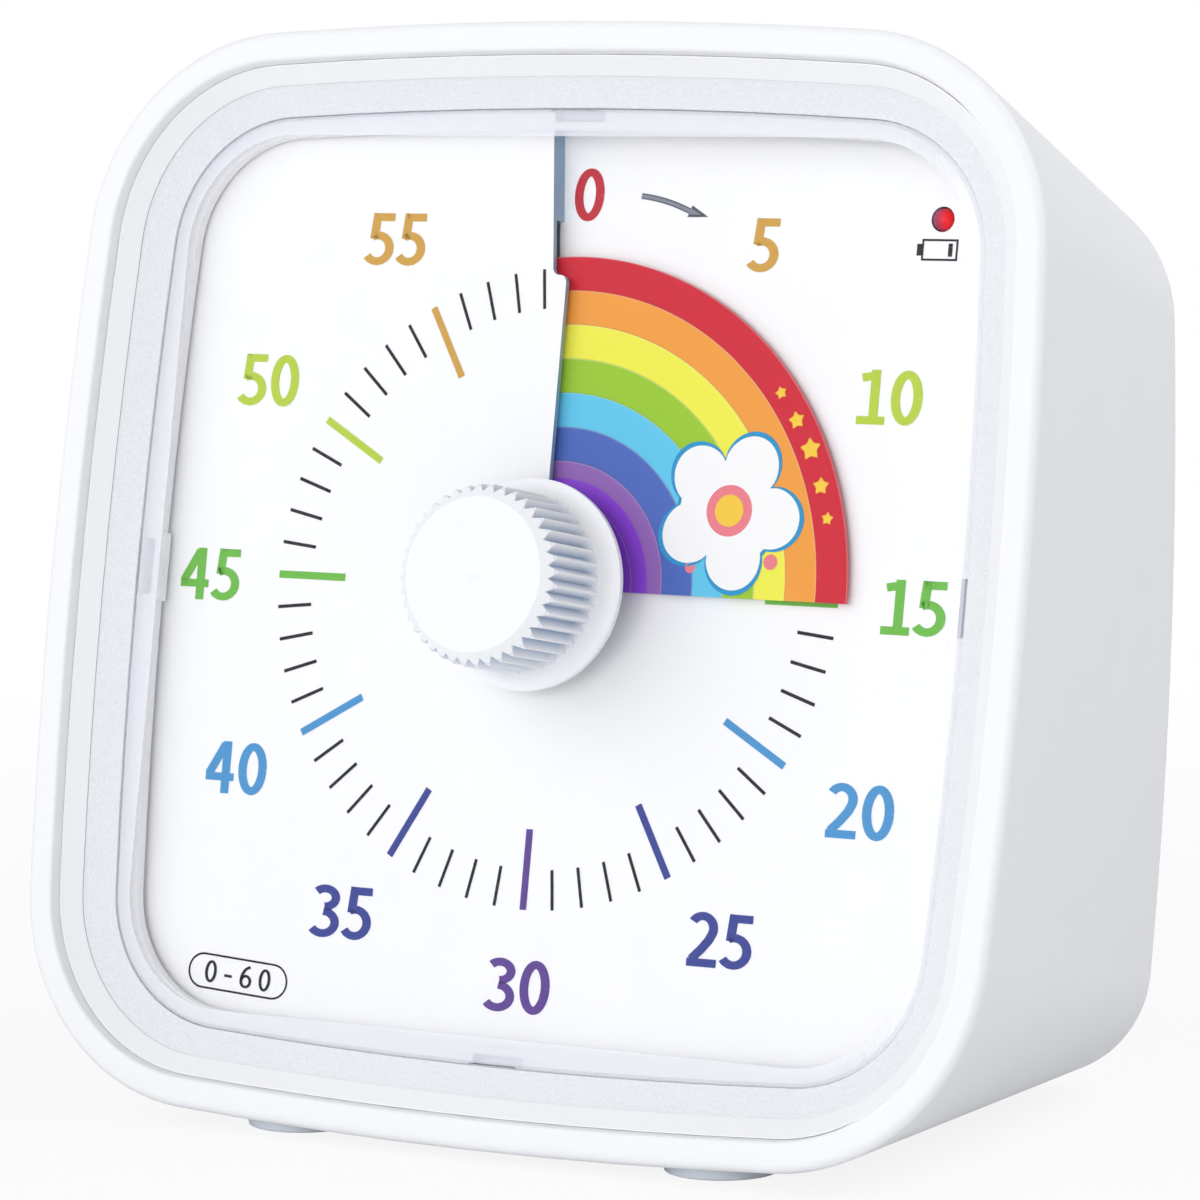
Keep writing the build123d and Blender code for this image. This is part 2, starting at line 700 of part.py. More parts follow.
def gear_outline(module, teeth, phase):
    """A gear's outline: involute flanks between the root and tip circles."""
    pitch_r = module * teeth / 2
    base_r = pitch_r * cos(radians(pressure_angle))
    tip_r = pitch_r + tooth_addendum * module
    root_r = pitch_r - tooth_dedendum * module

    def involute(r):
        roll = sqrt(max(0, (r / base_r) ** 2 - 1))
        return roll - atan2(roll, 1)

    def flank_angle(r):
        """Half the tooth's width at radius r, in degrees."""
        half_tooth = (pi - tooth_play) / (2 * teeth)
        return degrees(half_tooth + involute(pitch_r) - involute(max(r, base_r)))

    def polar(r, angle):
        return (r * cos(radians(angle)), r * sin(radians(angle)))

    flank_radii = [root_r, pitch_r, tip_r]
    with BuildSketch(Plane.XY) as shape:
        with BuildLine():
            for tooth in range(teeth):
                middle = phase + tooth * 360 / teeth
                following = middle + 360 / teeth
                rising = [polar(r, middle - flank_angle(r)) for r in flank_radii]
                falling = [polar(r, middle + flank_angle(r)) for r in reversed(flank_radii)]
                ThreePointArc(*rising)
                Line(rising[-1], falling[0])
                ThreePointArc(*falling)
                Line(falling[-1], polar(root_r, following - flank_angle(root_r)))
        make_face()
    return shape.sketch


def wheel_and_pinion(xy, layer, wheel, pinion):
    """A pinion on `layer`, its wheel one layer further forward, and the arbor that carries both.

    wheel and pinion are each (module, teeth, phase).
    """
    pinion_n = wheel_layer_n[layer] - pinion_overhang
    wheel_n = wheel_layer_n[layer] + wheel_step
    with BuildPart() as piece:
        with BuildSketch(at_face(inner_back_n - pivot_depth, *xy)):
            Circle(pivot_r)
        extrude(amount=inner_front_n - inner_back_n + 2 * pivot_depth)
        with BuildSketch(at_face(pinion_n, *xy)):
            add(gear_outline(*pinion))
        extrude(amount=wheel_n - pinion_n)
        with BuildSketch(at_face(wheel_n, *xy)):
            add(gear_outline(*wheel))
        extrude(amount=wheel_thickness)
    return piece.part


with BuildPart() as centre_wheel:
    with BuildSketch(at_face(wheel_layer_n[0])):
        add(gear_outline(centre_module, centre_teeth, 0))
        Circle(arbor_r, mode=Mode.SUBTRACT)
    extrude(amount=wheel_thickness)
    with BuildSketch(at_face(wheel_layer_n[0] + wheel_thickness)):
        Circle(clutch_r)
        Circle(arbor_r, mode=Mode.SUBTRACT)
    extrude(amount=clutch_height)
save(centre_wheel.part, "centre_wheel")

third_pinion = (centre_module, pinion_teeth, pinion_phase(third_bearing, centre_teeth))
fourth_pinion = (third_module, pinion_teeth, pinion_phase(fourth_bearing, third_teeth))
fifth_pinion = (fast_module, pinion_teeth, pinion_phase(fifth_bearing, fourth_teeth))
rotor_pinion = (fast_module, pinion_teeth, pinion_phase(rotor_bearing, fifth_teeth))
save(wheel_and_pinion(third_xy, 0, (third_module, third_teeth, 0), third_pinion), "third_wheel")
save(wheel_and_pinion(fourth_xy, 1, (fast_module, fourth_teeth, 0), fourth_pinion), "fourth_wheel")
save(wheel_and_pinion(fifth_xy, 2, (fast_module, fifth_teeth, 0), fifth_pinion), "fifth_wheel")

rotor_pinion_n = wheel_layer_n[3] - pinion_overhang
stator_back_n = wheel_layer_n[0] + stator_lift
stator_front_n = stator_back_n + stator_thickness
magnet_back_n = (stator_back_n + stator_front_n - magnet_height) / 2

with BuildPart() as rotor:
    with BuildSketch(at_face(inner_back_n - pivot_depth, *rotor_xy)):
        Circle(pivot_r)
    extrude(amount=inner_front_n - inner_back_n + 2 * pivot_depth)
    with BuildSketch(at_face(magnet_back_n, *rotor_xy)):
        Circle(magnet_r)
    extrude(amount=magnet_height)
    with BuildSketch(at_face(rotor_pinion_n, *rotor_xy)):
        add(gear_outline(*rotor_pinion))
    extrude(amount=wheel_thickness + 2 * pinion_overhang)
save(rotor.part, "rotor")


# ---- movement case, motor and electronics ----

gear_places = [third_xy, fourth_xy, fifth_xy, rotor_xy]
stator_post_places = [(coil_core_x, rotor_xy[1]), (coil_core_x, -stator_low_y),
                      (rotor_xy[0] + stator_yoke / 2 + stator_arm, rotor_xy[1])]


def case_half_shell(outer_n, split_n):
    """One half of the movement's case: a tray with a boss in each corner, open at split_n."""
    toward_split = 1 if split_n > outer_n else -1
    depth = abs(split_n - outer_n)
    with BuildPart() as shell:
        with BuildSketch(at_face(outer_n)):
            RectangleRounded(2 * case_half, 2 * case_half, case_corner_r)
        extrude(amount=toward_split * depth)
        with BuildSketch(at_face(outer_n + toward_split * case_wall)):
            RectangleRounded(2 * (case_half - case_wall), 2 * (case_half - case_wall),
                             case_corner_r - case_wall)
        extrude(amount=toward_split * (depth - case_wall), mode=Mode.SUBTRACT)
        with BuildSketch(at_face(outer_n)):
            with Locations(*corners(case_screw_xy)):
                Circle(case_screw_boss_r)
        extrude(amount=toward_split * depth)
        with BuildSketch(at_face(outer_n)):
            with Locations(*corners(case_screw_xy)):
                Circle(case_screw_r + fit_gap)
        extrude(amount=toward_split * depth, mode=Mode.SUBTRACT)
        with BuildSketch(at_face(outer_n + toward_split * case_wall)):
            with Locations(*gear_places):
                Circle(pivot_r + slip)
        extrude(amount=-toward_split * (pivot_depth + fit_gap), mode=Mode.SUBTRACT)
    return shell.part


with BuildPart() as movement_case_front:
    add(case_half_shell(case_front_n, case_split_n))
    with BuildSketch(at_face(case_front_n)):
        Circle(neck_r)
    extrude(amount=carrier_thickness)
    with BuildSketch(at_face(carrier_front_n)):
        Circle(arbor_r + slip)
    extrude(amount=-(carrier_thickness + case_wall), mode=Mode.SUBTRACT)
    with BuildSketch(at_face(inner_front_n)):
        with Locations(*movement_board_posts):
            Circle(board_post_r)
    extrude(amount=-board_post_height)
save(movement_case_front.part, "movement_case_front")

with BuildPart() as movement_case_rear:
    add(case_half_shell(case_back_n, case_split_n))
    with BuildSketch(at_face(inner_back_n)):
        Circle(arbor_pivot_r + slip)
    extrude(amount=-(pivot_depth + fit_gap), mode=Mode.SUBTRACT)
    with BuildSketch(at_face(inner_back_n)):
        with Locations(*stator_post_places):
            Circle(stator_post_r)
    extrude(amount=stator_back_n - inner_back_n)
save(movement_case_rear.part, "movement_case_rear")

with BuildPart() as movement_screws:
    with BuildSketch(at_face(case_back_n)):
        with Locations(*corners(case_screw_xy)):
            Circle(case_screw_r)
    extrude(amount=case_depth + case_screw_bite)
    with BuildSketch(at_face(case_back_n)):
        with Locations(*corners(case_screw_xy)):
            Circle(case_screw_head_r)
    extrude(amount=-case_screw_head)
    with BuildSketch(at_face(case_back_n - case_screw_head)):
        with Locations(*corners(case_screw_xy)):
            Rectangle(2 * case_screw_head_r, screw_slot)
    extrude(amount=screw_slot, mode=Mode.SUBTRACT)
save(movement_screws.part, "movement_screws")

stator_right_x = coil_core_x + coil_core_width / 2
stator_arm_x = rotor_xy[0] + stator_yoke / 2
stator_high_y = rotor_xy[1]

with BuildPart() as stator:
    with BuildSketch(at_face(stator_back_n)):
        with Locations(rotor_xy):
            Rectangle(stator_yoke, stator_yoke)
        with Locations(((rotor_xy[0] + stator_right_x) / 2, stator_high_y)):
            Rectangle(stator_right_x - rotor_xy[0], stator_arm)
        with Locations((stator_arm_x + stator_arm / 2, (stator_high_y - stator_low_y) / 2)):
            Rectangle(stator_arm, stator_high_y + stator_low_y)
        with Locations(((stator_arm_x + stator_right_x) / 2, -stator_low_y)):
            Rectangle(stator_right_x - stator_arm_x, stator_arm)
        with Locations(rotor_xy):
            Circle(magnet_r + stator_gap, mode=Mode.SUBTRACT)
    extrude(amount=stator_thickness)
save(stator.part, "stator")

coil_y = (stator_high_y - stator_low_y) / 2
core_middle_n = stator_front_n + coil_core_thickness / 2

with BuildPart() as coil_core:
    with BuildSketch(at_face(stator_front_n, coil_core_x, coil_y)):
        Rectangle(coil_core_width, stator_high_y + stator_low_y + stator_arm)
    extrude(amount=coil_core_thickness)
save(coil_core.part, "coil_core")

coil_end_plane = Plane(origin=face.from_local_coords((coil_core_x, coil_y, core_middle_n)),
                       x_dir=face.x_dir, z_dir=face.y_dir)

with BuildPart() as coil_bobbin:
    with BuildSketch(coil_end_plane):
        Rectangle(coil_core_width + 2 * coil_bobbin_wall, coil_core_thickness + 2 * coil_bobbin_wall)
    extrude(amount=coil_length / 2, both=True)
    for end in (1, -1):
        with BuildSketch(coil_end_plane.offset(end * coil_length / 2)):
            Rectangle(coil_outer, coil_outer)
        extrude(amount=-end * coil_flange)
    with BuildSketch(coil_end_plane):
        Rectangle(coil_core_width, coil_core_thickness)
    extrude(amount=coil_length / 2, both=True, mode=Mode.SUBTRACT)
save(coil_bobbin.part, "coil_bobbin")

winding_side = coil_outer - coil_flange

with BuildPart() as coil_winding:
    with BuildSketch(coil_end_plane):
        RectangleRounded(winding_side, winding_side, coil_flange)
        Rectangle(coil_core_width + 2 * coil_bobbin_wall, coil_core_thickness + 2 * coil_bobbin_wall,
                  mode=Mode.SUBTRACT)
    extrude(amount=coil_length / 2 - coil_flange, both=True)
save(coil_winding.part, "coil_winding")

movement_board_front_n = inner_front_n - board_post_height
movement_board_back_n = movement_board_front_n - board_thickness

with BuildPart() as movement_board:
    with BuildSketch(at_face(movement_board_front_n, movement_board_x, movement_board_y)):
        Rectangle(movement_board_width, movement_board_height)
    extrude(amount=-board_thickness)
save(movement_board.part, "movement_board")

with BuildPart() as movement_chip:
    with BuildSketch(at_face(movement_board_back_n, movement_board_x, movement_board_y + chip_side / 2)):
        Rectangle(chip_side, chip_side)
    extrude(amount=-chip_height)
save(movement_chip.part, "movement_chip")

with BuildPart() as crystal:
    with BuildSketch(Plane(origin=face.from_local_coords((movement_board_x - crystal_length / 2,
                                                          movement_board_y - chip_side / 2,
                                                          movement_board_back_n - crystal_r)),
                           x_dir=face.y_dir, z_dir=face.x_dir)):
        Circle(crystal_r)
    extrude(amount=crystal_length)
save(crystal.part, "crystal")


# ---- battery, its contacts and the door ----

spring_plate_x = -tray_half_x + contact_thickness
cell_start_x = spring_plate_x + tray_spring_room
cell_end_x = cell_start_x + cell_length
spring_height = tray_spring_room - spring_wire_r - fit_gap


def end_plane(x):
    """The upright plane across the battery bay at x, centred on the cell's axis."""
    return Plane(origin=(x, cell_y, cell_z), x_dir=(0, 1, 0), z_dir=(1, 0, 0))


with BuildPart() as aa_cell:
    with BuildSketch(end_plane(cell_start_x)):
        Circle(cell_r)
    extrude(amount=cell_length)
    fillet(aa_cell.faces().filter_by(GeomType.PLANE).edges(), cell_edge)
    with BuildSketch(end_plane(cell_end_x)):
        Circle(cell_nub_r)
    extrude(amount=cell_nub)
save(aa_cell.part, "aa_cell")

with BuildPart() as contact_plate:
    with BuildSketch(end_plane(tray_half_x - contact_thickness)):
        Rectangle(contact_width, contact_height)
    extrude(amount=contact_thickness)
save(contact_plate.part, "contact_plate")

with BuildPart() as contact_spring:
    with BuildSketch(end_plane(-tray_half_x)):
        Rectangle(contact_width, contact_height)
    extrude(amount=contact_thickness)
    with BuildLine() as spring_path:
        Helix(pitch=spring_height / spring_turns, height=spring_height, radius=spring_base_r,
              center=(spring_plate_x, cell_y, cell_z), direction=(1, 0, 0))
    with BuildSketch(Plane(spring_path.line @ 0, z_dir=spring_path.line % 0)):
        Circle(spring_wire_r)
    sweep(is_frenet=True)
save(contact_spring.part, "contact_spring")

with BuildPart() as battery_door:
    with BuildSketch(at_back(back_y, z=cell_z)):
        Rectangle(2 * door_half_x, 2 * door_half_z)
    extrude(amount=door_thickness)
    lower_edges = battery_door.edges().filter_by(Axis.X).group_by(Axis.Z)[0]
    fillet(lower_edges, door_thickness / 2 - lower_edge_flat)
    with BuildSketch(at_back(back_y, z=cell_z + door_half_z - door_grip_drop)):
        with GridLocations(0, door_grip_pitch, 1, door_grip_ribs):
            Rectangle(door_grip_width, door_grip_groove)
    extrude(amount=door_grip_groove, mode=Mode.SUBTRACT)
    for side in (1, -1):
        with BuildSketch(Plane(origin=(side * (door_half_x - door_pin_length), door_pivot_y, door_pivot_z),
                               z_dir=(side, 0, 0))):
            Circle(door_pin_r)
        extrude(amount=door_gap + 2 * door_pin_length)
save(battery_door.part, "battery_door")


# ---- board with switch and buzzer at the back ----

with BuildPart() as main_board:
    with BuildSketch(at_back(main_board_y, main_board_x, main_board_z)):
        Rectangle(main_board_width, main_board_height)
    extrude(amount=main_board_thickness)
    with BuildSketch(at_back(main_board_y)):
        with Locations(*board_boss_places):
            Circle(screw_r + fit_gap)
    extrude(amount=main_board_thickness, mode=Mode.SUBTRACT)
save(main_board.part, "main_board")

main_board_front_y = main_board_y - main_board_thickness

with BuildPart() as board_screws:
    with BuildSketch(at_back(main_board_front_y)):
        with Locations(*board_boss_places):
            Circle(screw_head_r)
    extrude(amount=screw_head_height)
    with BuildSketch(at_back(main_board_front_y)):
        with Locations(*board_boss_places):
            Circle(screw_r)
    extrude(amount=-(main_board_thickness + main_board_standoff - fit_gap))
    with BuildSketch(at_back(main_board_front_y - screw_head_height)):
        with Locations(*board_boss_places):
            Rectangle(2 * screw_head_r, screw_slot)
    extrude(amount=-screw_slot, mode=Mode.SUBTRACT)
save(board_screws.part, "board_screws")

with BuildPart() as control_chip:
    with BuildSketch(at_back(main_board_front_y, main_board_x, main_board_z)):
        Rectangle(2 * chip_side, chip_side)
    extrude(amount=chip_height)
save(control_chip.part, "control_chip")

switch_back_y = inner_y - free_gap
switch_sill_y = switch_back_y - switch_shell

with BuildPart() as switch_body:
    with BuildSketch(at_back(switch_back_y, switch_x, switch_z)):
        Rectangle(switch_body_width, switch_body_height)
    extrude(amount=switch_back_y - main_board_y)
    with BuildSketch(at_back(switch_back_y, switch_x, switch_z)):
        Rectangle(switch_slider_width + 2 * switch_travel + 2 * fit_gap, switch_slider_height + 2 * fit_gap)
    extrude(amount=switch_shell + fit_gap + switch_shoe, mode=Mode.SUBTRACT)
save(switch_body.part, "switch_body")

with BuildPart() as switch_slider:
    with BuildSketch(at_back(back_y - switch_slider_sunk, switch_x, switch_z)):
        Rectangle(switch_slider_width, switch_slider_height)
    extrude(amount=back_y - switch_slider_sunk - switch_sill_y + switch_shoe)
    with BuildSketch(at_back(back_y - switch_slider_sunk, switch_x, switch_z)):
        with GridLocations(switch_slider_width / 4, 0, 3, 1):
            Rectangle(switch_slider_width / 12, switch_slider_height)
    extrude(amount=switch_slider_sunk, mode=Mode.SUBTRACT)
save(switch_slider.part, "switch_slider")

with BuildPart() as buzzer:
    with BuildSketch(at_back(inner_y - fit_gap, buzzer_x, buzzer_z)):
        Circle(buzzer_r)
    extrude(amount=buzzer_height)
    fillet(buzzer.edges(), buzzer_edge)
    with BuildSketch(at_back(inner_y - fit_gap, buzzer_x, buzzer_z)):
        Circle(buzzer_port_r)
    extrude(amount=buzzer_height / 2, mode=Mode.SUBTRACT)
save(buzzer.part, "buzzer")


# ---- wires from the main board ----

def lead(start, start_way, end, end_way, bow=wire_bow):
    """One insulated wire, leaving start along start_way and arriving at end along end_way."""
    first, last = Vector(start), Vector(end)
    with BuildPart() as wire:
        with BuildLine() as path:
            Bezier(first, first + Vector(start_way) * bow, last - Vector(end_way) * wire_bow, last)
        with BuildSketch(Plane(path.line @ 0, z_dir=path.line % 0)):
            Circle(wire_r)
        sweep(is_frenet=True)
    return wire.part


board_low_z = main_board_z - main_board_height / 2
board_side_x = main_board_x + main_board_width / 2 - wire_spread
board_mid_y = main_board_y - main_board_thickness / 2
wire_slot_x = battery_wire_x - wire_r
buzzer_front_y = inner_y - fit_gap - buzzer_height
to_board = (0, 1, 0)
backward = (0, cos_lean, -sin_lean)

with BuildPart() as wiring:
    for side in (1, -1):
        apart = side * wire_spread / 2
        battery_start = (side * wire_slot_x, cell_y, cell_z + contact_height / 2)
        battery_bend = (side * wire_slot_x, cell_y, cell_z + tray_half_z + tray_wall)
        with BuildSketch(Plane(origin=battery_start)):
            Circle(wire_r)
        extrude(amount=battery_bend[2] - battery_start[2])
        battery_pad = (main_board_x + 2 * apart, board_mid_y, board_low_z)
        add(lead(battery_bend, (0, 0, 1), battery_pad, (0, 0, 1)))
        buzzer_tag = (buzzer_x - buzzer_r / 2, buzzer_front_y, buzzer_z + apart)
        buzzer_pad = (board_side_x, main_board_front_y, main_board_z + apart)
        add(lead(buzzer_tag, (0, -1, 0), buzzer_pad, to_board))
        coil_tag = face.from_local_coords((apart, movement_lead_y, case_back_n))
        coil_pad = (main_board_x + wire_spread + apart, main_board_front_y, board_low_z + wire_spread)
        add(lead(coil_tag, backward, coil_pad, to_board))
        led_tag = face.from_local_coords((led_x, led_y + apart, carrier_back_n - board_thickness))
        led_pad = (main_board_x + wire_spread, main_board_front_y, main_board_z + 2 * wire_spread + apart)
        add(lead(led_tag, backward, led_pad, to_board, case_half))
save(wiring.part, "wiring")
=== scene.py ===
"""Looks of a visual countdown timer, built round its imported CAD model.

Everything is in metres, in the frame of the CAD: X to the right, Y away from the viewer, Z up.
On the dial, x is to the right, y up the dial and n out of it, in millimetres, from the knob's axis.
"""
import json
import math

import bmesh
import bpy
from mathutils import Matrix, Vector


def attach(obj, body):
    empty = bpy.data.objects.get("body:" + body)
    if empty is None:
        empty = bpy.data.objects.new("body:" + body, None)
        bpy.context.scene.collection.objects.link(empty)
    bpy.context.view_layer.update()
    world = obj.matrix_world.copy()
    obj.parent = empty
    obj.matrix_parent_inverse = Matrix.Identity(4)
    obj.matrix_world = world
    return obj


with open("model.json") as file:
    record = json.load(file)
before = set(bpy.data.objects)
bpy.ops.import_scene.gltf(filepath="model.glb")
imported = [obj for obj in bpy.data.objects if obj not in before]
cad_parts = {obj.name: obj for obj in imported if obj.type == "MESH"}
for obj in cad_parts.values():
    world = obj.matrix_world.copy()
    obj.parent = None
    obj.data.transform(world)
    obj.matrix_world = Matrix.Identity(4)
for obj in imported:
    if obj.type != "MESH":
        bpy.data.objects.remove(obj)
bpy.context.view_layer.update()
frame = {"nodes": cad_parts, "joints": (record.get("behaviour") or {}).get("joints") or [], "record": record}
nodes = frame["nodes"]
MM = 0.001

# ---- sizes shared with the CAD, in millimetres ----

SPIRAL_PITCH = 1.7
DIAL_THICKNESS = 0.5
DISC_THICKNESS = 0.25
DISC_RADIUS = 26.2
DISC_BAND = 2.69
BEZEL_BEND = 4.295
BEZEL_STEP = 0.1            # height of the step at the bend, a little less than the CAD's; its wall carries painted shade
SLIT_TURN = 0.0125          # the slit stands this share of a turn before 12 o'clock
LENS_BACK = 2.13
LENS_FRONT = 3.13
WINDOW_HALF = 36.0          # half width of the ledge's opening at the middle of its sides
WINDOW_SIDE_RADIUS = 447.0
WINDOW_CORNER_RADIUS = 9.5
LUG_REACH = 0.35            # the ledge is wider by this much beside the left and right clips
LUG_HALF_LENGTH = 2.75
KNOB_RADIUS = 7.05
KNOB_SHOULDER = 11.4
KNOB_FOOT = 4.6             # the painted shade in the grooves fades out towards the flange
KNOB_FADE = 1.6
GROOVE_DEPTH = 0.65
PRINT_LIFT = 0.03           # printed shapes float this far over the sheet that carries them

# ---- sizes of the print, in millimetres ----

TICK_OUTER = 25.15
TICK_INNER = 22.0
TICK_WIDTH = 0.27
HOUR_TICK_INNER = 18.85
HOUR_TICK_WIDTH = 0.6
DIGIT_HEIGHT = 4.2
DIGIT_STROKE = 0.15         # share of the digit's height
DIGIT_STRETCH = 1.26        # digits are drawn narrow and widened, so that upright strokes come out heavier
DIGIT_GAP = 0.075
NUMBER_PLACES = {
    0: (-0.1, 31.2), 5: (16.0, 27.4), 10: (28.0, 15.9), 15: (31.6, 0.0), 20: (28.6, -15.6), 25: (17.6, -26.2),
    30: (0.2, -31.1), 35: (-16.5, -26.6), 40: (-27.7, -15.8), 45: (-31.8, -0.3), 50: (-27.7, 15.6),
    55: (-16.7, 27.2),
}
PILL_CENTRE = (-25.85, -32.4)
PILL_SIZE = (9.4, 2.7)
PILL_TURN = -3.5            # degrees
PILL_LINE = 0.16
PILL_DIGIT_HEIGHT = 1.85
PILL_DIGIT_STROKE = 0.78    # share of the big digits' stroke
PILL_DIGIT_GAP = 0.27
BATTERY_CENTRE = (31.15, 27.25)
BATTERY_SIZE = (2.9, 1.5)
BATTERY_LINE = 0.16
BATTERY_CAP = (0.28, 0.42, 0.9)     # place beyond the outline, width and height
BATTERY_LEVEL = (0.55, 0.36, 1.0)   # place inside the outline, width and height
ARROW_START = (4.65, 31.15)
ARROW_END = (10.8, 29.55)
ARROW_BOW = 0.18
ARROW_WIDTH = 0.46
ARROW_HEAD = (1.75, 1.0)    # length and width
ARROW_FILL = (0.55, 0.6, 0.5)   # paler middle: shares of the line's width and the head's length and width
ARROW_FILL_LIFT = 0.01

# ---- camera: where the photograph was taken from, relative to the dial ----

VIEW_AZIMUTH = 30.77        # degrees from straight ahead, to the right
VIEW_ELEVATION = -3.30
VIEW_ROLL = 5.00
VIEW_DISTANCE = 430.0       # millimetres from the middle of the dial
LENS = 165.0                # focal length in millimetres
SENSOR = 36                 # width in millimetres
IMAGE_SIZE = 1200
DIAL_PIXEL = (552.6, 589.0)

# ---- the dial's own frame, from the knob's joint ----

knob_joint = next(j for j in frame["joints"] if j["name"] == "knob_turn")
outward = -Vector(knob_joint["axis"]).normalized()
sideways = Vector((1, 0, 0))
upward = outward.cross(sideways)
face_matrix = Matrix((sideways, upward, outward)).transposed().to_4x4()
face_matrix.translation = Vector(knob_joint["pos_m"])


def on_face(x, y, n):
    """A point given on the dial, in millimetres, as a place in the CAD's frame."""
    return face_matrix @ Vector((x * MM, y * MM, n * MM))


def clockwise_turn(x, y):
    """How far round the dial a point is from 12 o'clock, as a share of a turn, from the slit's left side."""
    turn = (math.atan2(x, y) / (2 * math.pi)) % 1
    return turn - 1 if turn > 1 - SLIT_TURN else turn


def dial_front(x, y):
    """The height of print on the dial's spiral face."""
    return SPIRAL_PITCH * (clockwise_turn(x, y) - 0.5) + DIAL_THICKNESS / 2 + PRINT_LIFT


def disc_front(x, y):
    """The height of print on the disc's spiral face."""
    return SPIRAL_PITCH * clockwise_turn(x, y) + DISC_THICKNESS / 2 + PRINT_LIFT


# ---- materials ----

class Material:
    """One node material, built up a step at a time round a Principled shader."""

    def __init__(self, name, color, roughness=0.5, **sockets):
        self.material = bpy.data.materials.new(name)
        self.material.use_nodes = True
        self.tree = self.material.node_tree
        self.shader = self.tree.nodes["Principled BSDF"]
        self.shader.inputs["Base Color"].default_value = (*color, 1)
        self.shader.inputs["Roughness"].default_value = roughness
        for key, value in sockets.items():
            self.shader.inputs[key.replace("_", " ")].default_value = value
        self.color = (*color, 1)
        self.place = self.node("ShaderNodeTexCoord").outputs["Object"]

    def node(self, kind, **values):
        """A new node, with its settings and its inputs' values given by name."""
        made = self.tree.nodes.new(kind)
        for key, value in values.items():
            if hasattr(made, key):
                setattr(made, key, value)
            else:
                made.inputs[key.replace("_", " ")].default_value = value
        return made

    def link(self, source, target):
        """Joins an output to an input."""
        self.tree.links.new(source, target)

    def math(self, operation, a, b=0.0, clamp=False):
        """The output of a sum on two numbers or outputs."""
        made = self.node("ShaderNodeMath", operation=operation, use_clamp=clamp)
        for value, socket in ((a, made.inputs[0]), (b, made.inputs[1])):
            if isinstance(value, (int, float)):
                socket.default_value = value
            else:
                self.link(value, socket)
        return made.outputs[0]

    def vector(self, operation, a, b=None):
        """A node for a sum on one output, with a fixed vector as its second value."""
        made = self.node("ShaderNodeVectorMath", operation=operation)
        self.link(a, made.inputs[0])
        if b is not None:
            made.inputs[1].default_value = b
        return made

    def noise(self, scale_mm, detail=3.0):
        """Noise whose features are about scale_mm across."""
        made = self.node("ShaderNodeTexNoise", Scale=1 / (scale_mm * MM), Detail=detail)
        self.link(self.place, made.inputs["Vector"])
        return made.outputs["Fac"]

    def bump(self, height, depth_mm, strength=1.0):
        """Makes the surface look uneven, from a height of 0 to 1."""
        made = self.node("ShaderNodeBump", Strength=strength, Distance=depth_mm * MM)
        self.link(height, made.inputs["Height"])
        self.link(made.outputs["Normal"], self.shader.inputs["Normal"])

    def mix(self, factor, a, b):
        """The output of a blend of two colours or outputs."""
        made = self.node("ShaderNodeMix", data_type="RGBA")
        color_a, color_b = [s for s in made.inputs if s.type == "RGBA"]
        for value, socket in ((a, color_a), (b, color_b)):
            if isinstance(value, tuple):
                socket.default_value = value
            else:
                self.link(value, socket)
        if isinstance(factor, (int, float)):
            made.inputs[0].default_value = factor
        else:
            self.link(factor, made.inputs[0])
        return next(s for s in made.outputs if s.type == "RGBA")

    def vary(self, scale_mm, amount):
        """Shades the base colour a little, darker and lighter, over the surface."""
        darker = tuple(c * (1 - amount) for c in self.color[:3]) + (1,)
        self.link(self.mix(self.noise(scale_mm), darker, self.color), self.shader.inputs["Base Color"])
        return self

    def grain(self, scale_mm, depth_mm):
        """A fine unevenness over the whole surface."""
        self.bump(self.noise(scale_mm), depth_mm)
        return self

    def axis_distance(self):
        """Distance from the knob's axis, in millimetres."""
        offset = self.vector("SUBTRACT", self.place, face_matrix.translation).outputs[0]
        cross = self.vector("CROSS_PRODUCT", offset, outward).outputs[0]
        return self.math("MULTIPLY", self.vector("LENGTH", cross).outputs["Value"], 1 / MM)

    def along(self, direction):
        """Distance along a direction from the middle of the dial, in millimetres."""
        offset = self.vector("SUBTRACT", self.place, face_matrix.translation).outputs[0]
        return self.math("MULTIPLY", self.vector("DOT_PRODUCT", offset, direction).outputs["Value"], 1 / MM)

    def slanted(self, face_on):
        """1 where a surface is slanted from the dial's face, by the cosine at which it stops being face on."""
        normal = self.node("ShaderNodeNewGeometry").outputs["True Normal"]
        cosine = self.math("ABSOLUTE", self.vector("DOT_PRODUCT", normal, outward).outputs["Value"])
        return self.math("LESS_THAN", cosine, face_on)


def srgb(red, green, blue):
    """A colour given in 8-bit sRGB, as Blender's linear colour."""
    def linear(value):
        value = value / 255
        return value / 12.92 if value <= 0.04045 else ((value + 0.055) / 1.055) ** 2.4
    return (linear(red), linear(green), linear(blue))


NUMBER_COLORS = {
    0: srgb(196, 40, 56), 5: srgb(212, 164, 72), 10: srgb(188, 212, 66), 15: srgb(110, 190, 72),
    20: srgb(74, 152, 210), 25: srgb(56, 68, 148), 30: srgb(96, 66, 148),
}
# dark ink for the film's random mottling, and for the painted shade along the rings' edges
DARK_MOTTLE_AND_SHADE = (0.05, 0.03, 0.08, 1)
BAND_EDGE = 0.03            # share of a ring's width, for the painted highlight and painted shade along its edges
INNER_BAND_START = 6.49     # the last but one ring is narrow: the innermost starts here, in rings from the rim
BAND_COLORS = [srgb(216, 10, 44), srgb(252, 165, 58), srgb(251, 249, 75), srgb(158, 209, 34),
               srgb(98, 209, 247), srgb(72, 106, 196), srgb(154, 104, 192), srgb(152, 64, 232)]
LENS_TINT = (0.4, 0.4, 0.42)
LENS_EDGE = srgb(240, 242, 250)
LENS_FACE_ON = 0.95         # cosine of the slant beyond which a surface of the lens counts as its edge
SHEET_FACE_ON = 0.5         # the same for the dial's sheet, whose slanted faces carry painted shade
